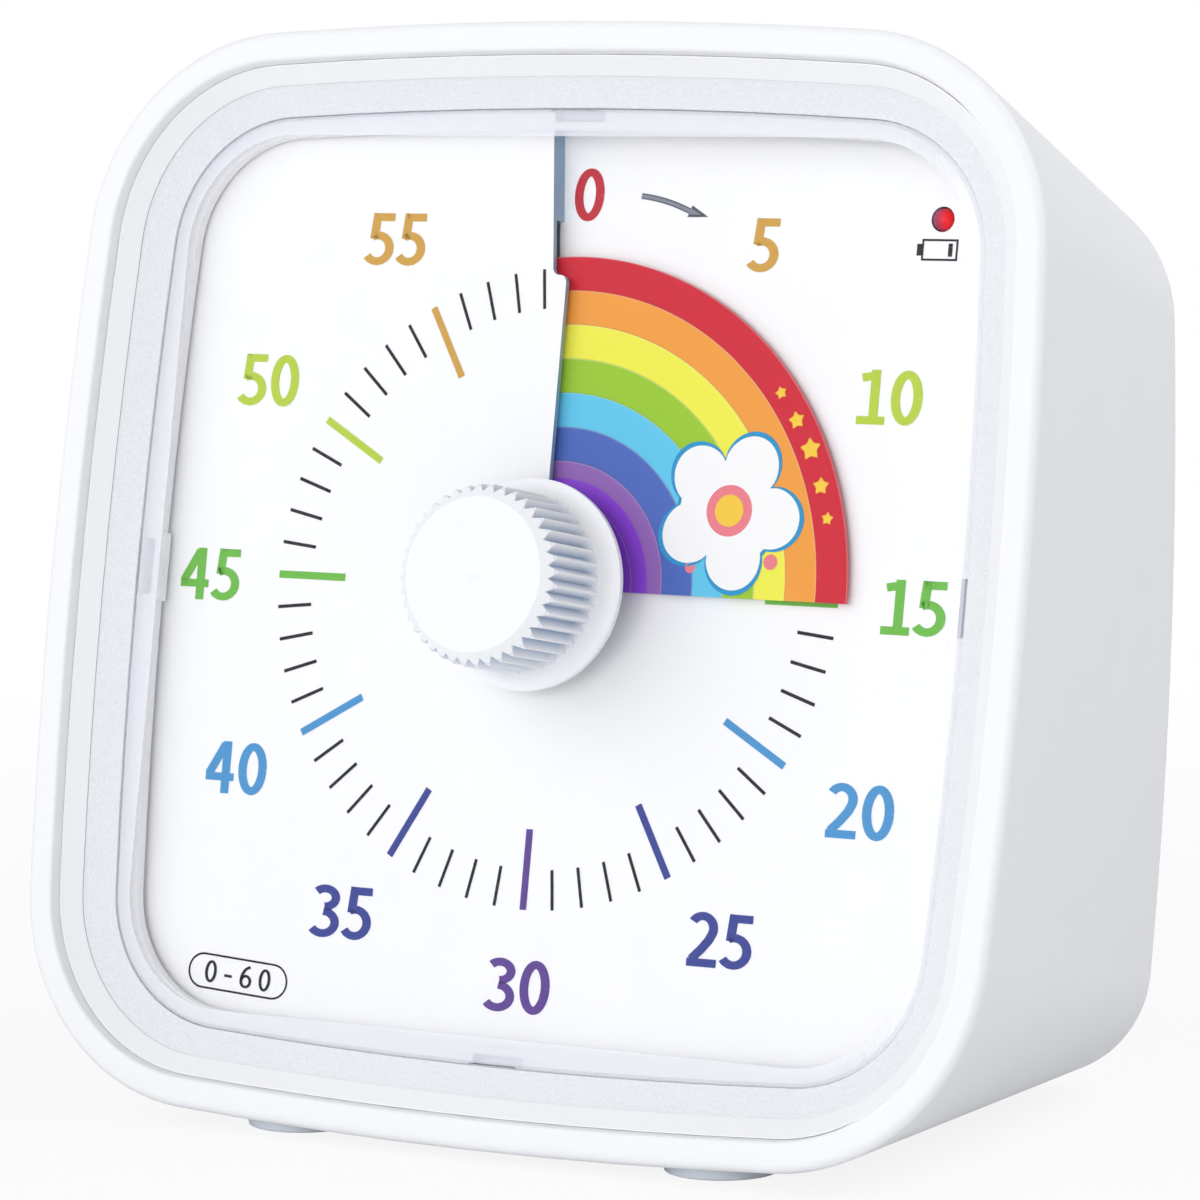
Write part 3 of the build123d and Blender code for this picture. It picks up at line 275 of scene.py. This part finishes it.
LENS_EDGE_COVER = 0.6       # how opaque the lens's edges, legs and margin are
LENS_LEG_COVER = 0.95
LENS_MARGIN_COVER = 0.58
MARGIN_FADE_END = 34.5      # the margin is clear at the right, where the print comes close to it
MARGIN_FADE_WIDTH = 5.0
LAMP_FADE = 0.8             # width of the change of tone across the lamp, in millimetres
STAR_YELLOW = srgb(250, 206, 60)
DOT_PINK = srgb(240, 128, 140)


def number_color(minute):
    """0 is red; the rest mirror each other on the left and right of the dial."""
    return NUMBER_COLORS[min(minute, 60 - minute)]


def bezel_material():
    """Pale plastic: the outer band is smooth, the inner one finely textured; the wall of the step between them is
    darkened as painted shade, and the ledge under the lens is lightened as painted light.
    """
    smooth = (*srgb(243, 244, 246), 1)
    made = Material("bezel", smooth[:3], 0.45)
    height = made.along(outward)
    textured = made.math("LESS_THAN", height, BEZEL_BEND)
    step_shade = made.math("MULTIPLY", textured, made.math("GREATER_THAN", height, BEZEL_BEND - BEZEL_STEP))
    lightened_ledge = made.math("LESS_THAN", height, LENS_BACK)
    grain = made.math("MULTIPLY", made.noise(0.2, 4.0), textured)
    made.bump(grain, 0.11, 0.8)
    speckled = made.mix(made.noise(0.22, 5.0), (*srgb(244, 246, 248), 1), (*srgb(222, 227, 231), 1))
    color = made.mix(textured, smooth, speckled)
    # painted shade: the wall of the step at the bend is darkened to a blue-grey line
    color = made.mix(made.math("MULTIPLY", step_shade, 0.8), color, (*srgb(166, 178, 190), 1))
    # painted light: the ledge and its wall under the lens are lightened against the shade that falls there
    made.link(made.mix(lightened_ledge, color, (*srgb(254, 254, 255), 1)), made.shader.inputs["Base Color"])
    return made


def rainbow_material():
    """The printed film: rings of colour from the rim to the middle, each with a painted highlight along its outer
    edge and painted shade along its inner edge.
    """
    made = Material("rainbow_film", BAND_COLORS[0], 0.4, Specular_IOR_Level=0.25)
    depth = made.math("SUBTRACT", DISC_RADIUS, made.axis_distance())
    band = made.math("DIVIDE", depth, DISC_BAND)
    ramp = made.node("ShaderNodeValToRGB")
    ramp.color_ramp.interpolation = "CONSTANT"
    count = len(BAND_COLORS)
    made.link(made.math("DIVIDE", band, count), ramp.inputs["Fac"])
    while len(ramp.color_ramp.elements) < count:
        ramp.color_ramp.elements.new(0.5)
    for k, color in enumerate(BAND_COLORS):
        ramp.color_ramp.elements[k].position = min(k, INNER_BAND_START) / count
        ramp.color_ramp.elements[k].color = (*color, 1)
    within = made.math("FRACT", band)
    # painted highlight along each ring's outer edge and painted shade along its inner edge, as if the rings were
    # embossed
    pale = made.math("MULTIPLY", made.math("LESS_THAN", within, BAND_EDGE), 0.15)
    edge_shade = made.math("MULTIPLY", made.math("GREATER_THAN", within, 1 - BAND_EDGE), 0.2)
    mottled = made.math("MULTIPLY", made.noise(0.5, 4.0), 0.04)
    color = made.mix(pale, ramp.outputs["Color"], (1, 1, 1, 1))
    color = made.mix(edge_shade, color, DARK_MOTTLE_AND_SHADE)
    color = made.mix(mottled, color, DARK_MOTTLE_AND_SHADE)
    made.link(color, made.shader.inputs["Base Color"])
    made.shader.inputs["Alpha"].default_value = 0.93
    return made


def knob_material():
    """Satin white, with blue-grey painted shade down in the grooves."""
    white = (*srgb(244, 245, 248), 1)
    made = Material("knob_plastic", white[:3], 0.45, Specular_IOR_Level=0.35)
    depth = made.math("SUBTRACT", KNOB_RADIUS, made.axis_distance())
    height = made.along(outward)
    barrel = made.math("MULTIPLY", made.math("LESS_THAN", height, KNOB_SHOULDER),
                       made.math("LESS_THAN", depth, GROOVE_DEPTH + 0.02))
    fade = made.math("DIVIDE", made.math("SUBTRACT", height, KNOB_FOOT), KNOB_FADE, clamp=True)
    barrel = made.math("MULTIPLY", barrel, fade)
    # painted shade: blue-grey, deeper towards the bottom of each groove
    groove_shade = made.math("MULTIPLY", made.math("DIVIDE", depth, GROOVE_DEPTH, clamp=True), barrel)
    shaded = made.mix(made.math("MULTIPLY", groove_shade, 0.75), white, (*srgb(142, 168, 200), 1))
    made.link(made.mix(made.math("MULTIPLY", made.noise(2.0), 0.04), shaded, (*srgb(205, 210, 220), 1)),
              made.shader.inputs["Base Color"])
    made.grain(0.3, 0.004)
    return made


def dial_material():
    """A white printed sheet whose slanted faces, its cut edges and the riser at the slit, are painted blue-grey as
    painted shade.
    """
    white = (*srgb(254, 254, 255), 1)
    made = Material("dial_sheet", white[:3], 0.5)
    edge = made.slanted(SHEET_FACE_ON)
    faint = made.mix(made.noise(6.0), white, (*srgb(251, 252, 254), 1))
    # painted shade: the slanted faces are painted blue-grey
    made.link(made.mix(edge, faint, (*srgb(146, 176, 202), 1)), made.shader.inputs["Base Color"])
    made.grain(0.2, 0.003)
    return made


def beyond_window(made):
    """1 over the ledge that carries the lens, 0 over its opening."""
    across = made.math("ABSOLUTE", made.along(sideways))
    up = made.math("ABSOLUTE", made.along(upward))

    def length(a, b):
        return made.math("SQRT", made.math("ADD", made.math("MULTIPLY", a, a), made.math("MULTIPLY", b, b)))

    side_centre = WINDOW_HALF - WINDOW_SIDE_RADIUS
    corner_offset = WINDOW_SIDE_RADIUS - WINDOW_CORNER_RADIUS
    corner = (side_centre + math.sqrt(2 * corner_offset ** 2 - side_centre ** 2)) / 2
    right = made.math("SUBTRACT", length(made.math("SUBTRACT", across, side_centre), up), WINDOW_SIDE_RADIUS)
    top = made.math("SUBTRACT", length(across, made.math("SUBTRACT", up, side_centre)), WINDOW_SIDE_RADIUS)
    past = [made.math("MAXIMUM", made.math("SUBTRACT", value, corner), 0.0) for value in (across, up)]
    round_corner = made.math("SUBTRACT", length(*past), WINDOW_CORNER_RADIUS)
    outside = made.math("MAXIMUM", made.math("MAXIMUM", right, top), round_corner)
    lug = made.math("MULTIPLY", made.math("GREATER_THAN", across, WINDOW_HALF - LUG_REACH),
                    made.math("LESS_THAN", up, LUG_HALF_LENGTH))
    return made.math("MAXIMUM", made.math("GREATER_THAN", outside, 0.0), lug)


def lens_material():
    """Clear plastic: nearly invisible face on, with a sheen at a slant, and a pale lavender margin added as painted
    light, standing in for the lit ledge beneath.
    """
    made = Material("clear_lens", LENS_TINT, 0.03, IOR=1.5)
    slant = made.node("ShaderNodeLayerWeight", Blend=0.5).outputs["Facing"]
    height = made.along(outward)
    edge = made.slanted(LENS_FACE_ON)
    leg = made.math("LESS_THAN", height, LENS_BACK - 0.05)
    front = made.math("GREATER_THAN", height, LENS_FRONT - 0.02)
    # painted light: the pale margin over the ledge stands in for the lit ledge seen through the clear lens
    lit_margin = made.math("MULTIPLY", front, beyond_window(made))
    inward = made.math("SUBTRACT", MARGIN_FADE_END, made.along(sideways))
    margin_cover = made.math("DIVIDE", inward, MARGIN_FADE_WIDTH, clamp=True)
    margin_cover = made.math("MULTIPLY", margin_cover, LENS_MARGIN_COVER)
    pale = made.math("MAXIMUM", made.math("MAXIMUM", edge, leg), lit_margin)
    edge_cover = made.math("MULTIPLY", edge, LENS_EDGE_COVER)
    cover = made.math("MAXIMUM", edge_cover, made.math("MULTIPLY", leg, LENS_LEG_COVER))
    cover = made.math("MAXIMUM", cover, made.math("MULTIPLY", lit_margin, margin_cover))
    sheen = made.math("MULTIPLY", made.math("POWER", slant, 4.0), 0.5, clamp=True)
    haze = made.math("ADD", made.math("MULTIPLY", made.noise(5.0), 0.01), 0.012)
    made.link(made.mix(pale, (*LENS_TINT, 1), (*LENS_EDGE, 1)), made.shader.inputs["Base Color"])
    alpha = made.math("MAXIMUM", made.math("ADD", sheen, haze), cover, clamp=True)
    made.link(alpha, made.shader.inputs["Alpha"])
    return made


def lamp_material():
    """A lit red lamp, whose left side is duller than its right."""
    bright, dull = (*srgb(252, 2, 14), 1), (*srgb(146, 46, 84), 1)
    made = Material("led_red", bright[:3], 0.25, Specular_IOR_Level=0.2)
    places = [(vert.co - face_matrix.translation).dot(sideways) / MM for vert in nodes["status_led"].data.vertices]
    from_middle = made.math("SUBTRACT", made.along(sideways), (min(places) + max(places)) / 2)
    share = made.math("ADD", made.math("DIVIDE", from_middle, LAMP_FADE), 0.35, clamp=True)
    mottled = made.math("MULTIPLY", made.noise(0.4), 0.06)
    made.link(made.mix(mottled, made.mix(share, dull, bright), (*srgb(120, 10, 30), 1)),
              made.shader.inputs["Base Color"])
    made.shader.inputs["Emission Color"].default_value = bright
    made.shader.inputs["Emission Strength"].default_value = 0.08
    return made


def coated(name, color, roughness, scale_mm=0.35, depth_mm=0.01, amount=0.02, **sockets):
    """A plain finish: one colour that varies a little, over a fine grain."""
    return Material(name, color, roughness, **sockets).vary(8.0, amount).grain(scale_mm, depth_mm)


finishes = {
    "white_shell": coated("white_shell", srgb(242, 243, 245), 0.5, 0.3, 0.012),
    "bezel_plastic": bezel_material(),
    "clear_lens": lens_material(),
    "dial_print": dial_material(),
    "inner_plastic": coated("inner_plastic", srgb(226, 228, 232), 0.6),
    "rainbow_film": rainbow_material(),
    "knob_plastic": knob_material(),
    "gear_plastic": coated("gear_plastic", srgb(222, 218, 206), 0.5),
    "movement_black": coated("movement_black", srgb(34, 35, 38), 0.5),
    "steel": coated("steel", (0.56, 0.56, 0.58), 0.32, 0.15, 0.004, 0.1, Metallic=1.0),
    "brass_plate": coated("brass_plate", (0.68, 0.50, 0.22), 0.3, 0.15, 0.003, 0.08, Metallic=1.0),
    "board_green": coated("board_green", srgb(20, 84, 46), 0.4),
    "chip_black": coated("chip_black", srgb(26, 26, 28), 0.5),
    "led_red": lamp_material(),
    "copper_wire": coated("copper_wire", (0.60, 0.27, 0.13), 0.35, 0.1, 0.02, 0.2, Metallic=1.0),
    "cell_wrap": coated("cell_wrap", srgb(60, 84, 120), 0.35),
    "foot_rubber": coated("foot_rubber", srgb(222, 228, 236), 0.75, 0.25, 0.02),
    "wire_red": coated("wire_red", srgb(170, 34, 30), 0.5),
}
slot_of = {part["node"]: part["material_slot"] for part in frame["record"]["subparts"]}
for name, node in nodes.items():
    node.data.materials.clear()
    node.data.materials.append(finishes[slot_of[name]].material)


# ---- printed shapes ----

ink_cache = {}


def ink(name, color):
    """The material of one printed colour, made once."""
    if name not in ink_cache:
        made = Material("ink_" + name, color, Specular_IOR_Level=0.25)
        made.vary(0.6, 0.04)
        ink_cache[name] = made.material
    return ink_cache[name]


def printed(name, outlines, material, height, body, slot):
    """Flat printed shapes on a sheet: each outline is a closed list of (x, y), in millimetres."""
    mesh = bmesh.new()
    for points in outlines:
        mesh.faces.new([mesh.verts.new((x, y, 0)) for x, y in points])
    bmesh.ops.triangulate(mesh, faces=mesh.faces[:])
    for vert in mesh.verts:
        x, y, _ = vert.co
        vert.co = on_face(x, y, height(x, y))
    data = bpy.data.meshes.new(name)
    mesh.to_mesh(data)
    mesh.free()
    data.materials.append(material)
    made = bpy.data.objects.new(name, data)
    bpy.context.scene.collection.objects.link(made)
    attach(made, body)


def ribbon(points, width, closed=False):
    """Quads that follow a line of points at a constant width, one outline to each stretch."""
    count = len(points)
    sides = []
    for k, (x, y) in enumerate(points):
        before = points[k - 1] if k > 0 or closed else points[k]
        after = points[(k + 1) % count] if k < count - 1 or closed else points[k]
        first = Vector((x - before[0], y - before[1]))
        second = Vector((after[0] - x, after[1] - y))
        first = first.normalized() if first.length else second.normalized()
        second = second.normalized() if second.length else first
        middle = (first + second).normalized()
        across = Vector((-middle.y, middle.x))
        reach = width / 2 / max(0.4, across.dot(Vector((-first.y, first.x))))
        sides.append(((x + across.x * reach, y + across.y * reach), (x - across.x * reach, y - across.y * reach)))
    stretches = range(count) if closed else range(count - 1)
    return [[sides[k][0], sides[k][1], sides[(k + 1) % count][1], sides[(k + 1) % count][0]] for k in stretches]


def arc(centre, radius_x, radius_y, start, end, count=14):
    """Points along an elliptical arc; angles in degrees from x, anticlockwise."""
    turns = [math.radians(start + (end - start) * k / count) for k in range(count + 1)]
    return [(centre[0] + radius_x * math.cos(t), centre[1] + radius_y * math.sin(t)) for t in turns]


HALF = DIGIT_STROKE / 2
DIGITS = {
    # each digit has its width and a list of strokes, with a height of 1 and the baseline at 0
    "0": (0.51, [arc((0.255, 0.5), 0.18, 0.5 - HALF, 0, 360, 36)]),
    "1": (0.47, [[(0.28, 0.0), (0.28, 1.0)], [(0.06, 0.85), (0.26, 0.89)], [(0.01, HALF), (0.47, HALF)]]),
    "2": (0.49, [arc((0.22, 0.70), 0.185, 0.30 - HALF, 148, -24)
                 + [(0.34, 0.49), (0.22, 0.31), (0.075, 0.13)], [(0.0, HALF), (0.49, HALF)]]),
    "3": (0.48, [arc((0.20, 0.755), 0.19, 0.245 - HALF, 142, -90),
                 arc((0.185, 0.285), 0.22, 0.285 - HALF, 90, -145)]),
    "4": (0.51, [[(0.36, 0.0), (0.36, 1.0)], [(0.325, 0.95), (0.055, 0.36)], [(0.0, 0.315), (0.51, 0.315)]]),
    "5": (0.49, [[(0.13, 1 - HALF), (0.475, 1 - HALF)], [(0.165, 1.0), (0.13, 0.51)],
                 arc((0.20, 0.325), 0.215, 0.325 - HALF, 118, -145)]),
    "6": (0.51, [arc((0.265, 0.31), 0.185, 0.31 - HALF, 0, 360, 28),
                 arc((0.47, 0.36), 0.39, 0.60, 100, 180)]),
    "-": (0.40, [[(0.04, 0.42), (0.36, 0.42)]]),
}


def turned(point, centre, degrees):
    """A point turned about a centre, anticlockwise."""
    a = math.radians(degrees)
    dx, dy = point[0] - centre[0], point[1] - centre[1]
    return (centre[0] + dx * math.cos(a) - dy * math.sin(a), centre[1] + dx * math.sin(a) + dy * math.cos(a))


def text_outlines(text, centre, height, stroke=1.0, gap=DIGIT_GAP, turn=0.0):
    """Outlines of a row of digits, centred on a point."""
    width = sum(DIGITS[c][0] for c in text) + gap * (len(text) - 1)
    left = -width / 2
    shapes = []
    for character in text:
        advance, strokes = DIGITS[character]
        for points in strokes:
            for quad in ribbon([(left + x, y - 0.5) for x, y in points], DIGIT_STROKE * stroke):
                placed = [(centre[0] + x * height * DIGIT_STRETCH, centre[1] + y * height) for x, y in quad]
                shapes.append([turned(point, centre, turn) for point in placed])
        left += advance + gap
    return shapes


def radial_bar(minute, inner, outer, width):
    """One tick of the dial, by its minute."""
    turn = math.radians(minute * 6)
    along = (math.sin(turn), math.cos(turn))
    return ribbon([(along[0] * r, along[1] * r) for r in (inner, outer)], width)[0]


on_dial = dict(height=dial_front, body="base", slot="dial_print")
minute_ticks = [radial_bar(m, TICK_INNER, TICK_OUTER, TICK_WIDTH) for m in range(60) if m % 5]
printed("minute_ticks", minute_ticks, ink("black", srgb(14, 15, 20)), **on_dial)
for minute in range(0, 60, 5):
    color = ink(f"number_{min(minute, 60 - minute)}", number_color(minute))
    bar = radial_bar(minute, HOUR_TICK_INNER, TICK_OUTER, HOUR_TICK_WIDTH)
    printed(f"tick_{minute}", [bar], color, **on_dial)
    outlines = text_outlines(str(minute), NUMBER_PLACES[minute], DIGIT_HEIGHT)
    printed(f"number_{minute}", outlines, color, **on_dial)


def arrow_outlines(width, head_length, head_width):
    """An arrow that bows gently: a shaft of even width and a pointed head."""
    start, end = Vector(ARROW_START), Vector(ARROW_END)
    along = (end - start).normalized()
    across = Vector((-along.y, along.x))
    shaft = (end - start).length - ARROW_HEAD[0]
    spine = []
    for k in range(9):
        t = k / 8
        spine.append(tuple(start + along * (shaft * t) + across * (ARROW_BOW * 4 * t * (1 - t))))
    neck, before = Vector(spine[-1]), Vector(spine[-2])
    side = Vector((before.y - neck.y, neck.x - before.x)).normalized() * (head_width / 2)
    tip = neck + (end - neck).normalized() * head_length
    return ribbon(spine, width) + [[tuple(neck + side), tuple(neck - side), tuple(tip)]]


def raised(x, y):
    """The height of print that lies on other print of the dial."""
    return dial_front(x, y) + ARROW_FILL_LIFT


printed("set_arrow", arrow_outlines(ARROW_WIDTH, *ARROW_HEAD), ink("dark_grey", srgb(84, 88, 98)), **on_dial)
fill = [share * whole for share, whole in zip(ARROW_FILL, (ARROW_WIDTH, *ARROW_HEAD))]
printed("set_arrow_fill", arrow_outlines(*fill), ink("grey", srgb(134, 140, 154)), raised, "base", "dial_print")


def pill_line(centre, size):
    """The centre line of a rounded outline."""
    r = size[1] / 2
    right = arc((centre[0] + size[0] / 2 - r, centre[1]), r, r, -90, 90)
    left = arc((centre[0] - size[0] / 2 + r, centre[1]), r, r, 90, 270)
    return right + left


black = ink("black", srgb(14, 15, 20))
pill = [turned(point, PILL_CENTRE, PILL_TURN) for point in pill_line(PILL_CENTRE, PILL_SIZE)]
printed("range_outline", ribbon(pill, PILL_LINE, closed=True), black, **on_dial)
range_text = text_outlines("0-60", PILL_CENTRE, PILL_DIGIT_HEIGHT, PILL_DIGIT_STROKE, PILL_DIGIT_GAP, PILL_TURN)
printed("range_numbers", range_text, black, **on_dial)


def battery_outlines():
    """A battery lying on its side: its outline, its cap at the left and a low level at the right."""
    x, y = BATTERY_CENTRE
    half_x, half_y = BATTERY_SIZE[0] / 2, BATTERY_SIZE[1] / 2
    corners = [(x - half_x, y - half_y), (x + half_x, y - half_y), (x + half_x, y + half_y), (x - half_x, y + half_y)]
    shapes = ribbon(corners, BATTERY_LINE, closed=True)
    cap_x, cap_width, cap_height = BATTERY_CAP
    level_x, level_width, level_height = BATTERY_LEVEL
    for bar_x, width, height in ((x - half_x - cap_x, cap_width, cap_height),
                                 (x + half_x - level_x, level_width, level_height)):
        shapes += ribbon([(bar_x, y - height / 2), (bar_x, y + height / 2)], width)
    return shapes


printed("battery_sign", battery_outlines(), black, **on_dial)


# ---- motifs printed on the disc ----

# radius and degrees clockwise from the top at rest, then size
STARS = ((24.8, 50, 0.55), (24.8, 56, 0.75), (24.9, 62, 0.95), (24.8, 69, 0.75), (24.8, 75, 0.55))
STAR_POINTS = 5
STAR_WAIST = 0.55           # inner radius, as a share of the outer one
DOTS = ((19.6, 81.5, 0.6), (17.4, 83.5, 0.52), (12.6, 80, 0.44))
FLOWER_CLOCK = (16.8, 66.5)
FLOWER_EDGE_RADIUS = 6.6
FLOWER_RADIUS = 6.2
FLOWER_RING_RADIUS = 2.0
FLOWER_HEART_RADIUS = 1.25
FLOWER_TURN = 0.5           # radians
PETALS = 5
PETAL_WAIST = 0.62          # share of the radius at which two petals meet
PETAL_WAVE = 0.75           # under 1, a petal is rounder than a sine wave
LAYER_LIFT = 0.015          # each printed layer lies this far over the one below


def star(centre, outer, inner, turn):
    """A star's outline, with one point towards `turn`."""
    places = []
    for k in range(2 * STAR_POINTS):
        r = outer if k % 2 == 0 else inner
        a = math.radians(turn + k * 180 / STAR_POINTS)
        places.append((centre[0] + r * math.cos(a), centre[1] + r * math.sin(a)))
    return places


def rounded(points, share=0.3, steps=5):
    """The same closed outline with its corners rounded off by short curves."""
    out = []
    count = len(points)
    for k in range(count):
        before, here, after = (Vector(points[(k + d) % count]) for d in (-1, 0, 1))
        start = here.lerp(before, share)
        end = here.lerp(after, share)
        for s in range(steps + 1):
            t = s / steps
            out.append(tuple(start.lerp(here, t).lerp(here.lerp(end, t), t)))
    return out


def at_clock(radius, degrees):
    """A point on the disc, by its radius and its degrees clockwise from the top."""
    turn = math.radians(degrees)
    return (radius * math.sin(turn), radius * math.cos(turn))


def disc_print(name, outlines, material, layer):
    """A shape printed on the disc, in one of a few layers."""
    printed(name, outlines, material, lambda x, y: disc_front(x, y) + layer * LAYER_LIFT, "disc", "rainbow_film")


def flower(centre, radius):
    """The outline of round petals about a centre: one wave to each petal."""
    places = []
    count = 24 * PETALS
    for k in range(count):
        a = 2 * math.pi * k / count
        r = radius * (PETAL_WAIST + (1 - PETAL_WAIST) * abs(math.sin(PETALS * a / 2)) ** PETAL_WAVE)
        places.append((centre[0] + r * math.cos(a + FLOWER_TURN), centre[1] + r * math.sin(a + FLOWER_TURN)))
    return places


def disc_of(centre, radius):
    """The outline of a round dot."""
    return arc(centre, radius, radius, 0, 350, 35)


flower_place = at_clock(*FLOWER_CLOCK)
disc_print("flower_edge", [flower(flower_place, FLOWER_EDGE_RADIUS)], ink("blue", srgb(24, 150, 206)), 0)
disc_print("flower_petals", [flower(flower_place, FLOWER_RADIUS)], ink("white", srgb(254, 254, 254)), 1)
disc_print("flower_ring", [disc_of(flower_place, FLOWER_RING_RADIUS)], ink("pink", DOT_PINK), 2)
disc_print("flower_heart", [disc_of(flower_place, FLOWER_HEART_RADIUS)], ink("yellow", STAR_YELLOW), 3)
for k, (radius, degrees, size) in enumerate(STARS):
    outline = rounded(star(at_clock(radius, degrees), size, size * STAR_WAIST, 90 - degrees))
    disc_print(f"small_star_{k}", [outline], ink("yellow", STAR_YELLOW), 0)
for k, (radius, degrees, size) in enumerate(DOTS):
    disc_print(f"dot_{k}", [disc_of(at_clock(radius, degrees), size)], ink("pink", DOT_PINK), 0)


# ---- camera ----

def turned_camera():
    """The camera's place and turn, from its angles about the dial and the dial's place in the image."""
    az, el, roll = (math.radians(v) for v in (VIEW_AZIMUTH, VIEW_ELEVATION, VIEW_ROLL))
    # here x is to the right, y away from the viewer and z up the dial
    toward = Vector((math.sin(az) * math.cos(el), -math.cos(az) * math.cos(el), math.sin(el)))
    ahead = -toward
    right = Vector((math.cos(az), math.sin(az), 0))
    above = right.cross(ahead)
    right_rolled = right * math.cos(roll) + above * math.sin(roll)
    above_rolled = above * math.cos(roll) - right * math.sin(roll)
    focal = LENS / SENSOR * IMAGE_SIZE
    aim = Vector(((DIAL_PIXEL[0] - IMAGE_SIZE / 2) / focal, (DIAL_PIXEL[1] - IMAGE_SIZE / 2) / focal, 1))
    rows = Vector((0, 0, 1)).rotation_difference(aim).to_matrix() @ Matrix((right_rolled, -above_rolled, ahead))
    to_cad = Matrix((sideways, -outward, upward)).transposed()
    axes = [to_cad @ rows[0], to_cad @ -rows[1], to_cad @ -rows[2]]
    place = Matrix(axes).transposed().to_4x4()
    place.translation = face_matrix.translation + to_cad @ toward * VIEW_DISTANCE * MM
    return place


camera_data = bpy.data.cameras.new("camera")
camera_data.lens = LENS
camera_data.sensor_width = SENSOR
camera_data.clip_start = 0.01
camera = bpy.data.objects.new("camera", camera_data)
bpy.context.scene.collection.objects.link(camera)
camera.matrix_world = turned_camera()
bpy.context.scene.camera = camera


# ---- light, floor and background ----

def area_light(name, place, target, size, watts):
    """A flat white lamp, turned towards its target."""
    data = bpy.data.lights.new(name, "AREA")
    data.shape = "RECTANGLE"
    data.size, data.size_y = size
    data.energy = watts
    lamp = bpy.data.objects.new(name, data)
    lamp.location = place
    lamp.rotation_euler = (Vector(target) - Vector(place)).to_track_quat("-Z", "Y").to_euler()
    bpy.context.scene.collection.objects.link(lamp)


middle = (0, 0, 0.045)
area_light("key", (-0.55, -0.78, 0.58), middle, (1.2, 1.0), 4.5)
area_light("front_fill", (0.15, -0.95, 0.15), middle, (0.6, 0.4), 3.1)
area_light("side_fill", (0.50, 0.20, 0.62), middle, (0.5, 0.4), 2.3)

world = bpy.data.worlds.new("studio")
bpy.context.scene.world = world
world.use_nodes = True
world_nodes = world.node_tree.nodes
background = world_nodes["Background"]
background.inputs["Color"].default_value = (0.95, 0.96, 1.0, 1)
background.inputs["Strength"].default_value = 0.4
white = world_nodes.new("ShaderNodeBackground")
white.inputs["Color"].default_value = (1, 1, 1, 1)
rays = world_nodes.new("ShaderNodeLightPath")
link = world.node_tree.links.new
seen = rays.outputs["Is Camera Ray"]
for kind in ("Is Glossy Ray", "Is Transmission Ray"):
    either = world_nodes.new("ShaderNodeMath")
    either.operation = "MAXIMUM"
    link(seen, either.inputs[0])
    link(rays.outputs[kind], either.inputs[1])
    seen = either.outputs[0]
blend = world_nodes.new("ShaderNodeMixShader")
link(seen, blend.inputs[0])
link(background.outputs[0], blend.inputs[1])
link(white.outputs[0], blend.inputs[2])
link(blend.outputs[0], world_nodes["World Output"].inputs["Surface"])


def floor_material():
    """Pale, and nearly white where the camera sees it, so that only a soft shadow shows."""
    made = Material("floor", (0.87, 0.87, 0.88), 0.8)
    light = made.node("ShaderNodeEmission", Color=(1, 1, 1, 1), Strength=1.0)
    seen_by = made.node("ShaderNodeLightPath")
    mixed = made.node("ShaderNodeMixShader")
    away = made.vector("LENGTH", made.place)
    fade = made.node("ShaderNodeMapRange", interpolation_type="SMOOTHSTEP")
    made.link(away.outputs["Value"], fade.inputs["Value"])
    for name, value in (("From Min", 0.08), ("From Max", 0.35), ("To Min", 0.87), ("To Max", 1.0)):
        fade.inputs[name].default_value = value
    made.link(made.math("MULTIPLY", seen_by.outputs["Is Camera Ray"], fade.outputs["Result"]), mixed.inputs[0])
    made.link(made.shader.outputs[0], mixed.inputs[1])
    made.link(light.outputs[0], mixed.inputs[2])
    made.link(mixed.outputs[0], made.tree.nodes["Material Output"].inputs["Surface"])
    return made.material


bpy.ops.mesh.primitive_plane_add(size=6, location=(0, 0, 0))
floor = bpy.context.object
floor.name = "floor"
floor.data.materials.append(floor_material())

bpy.context.scene.view_settings.view_transform = "Standard"
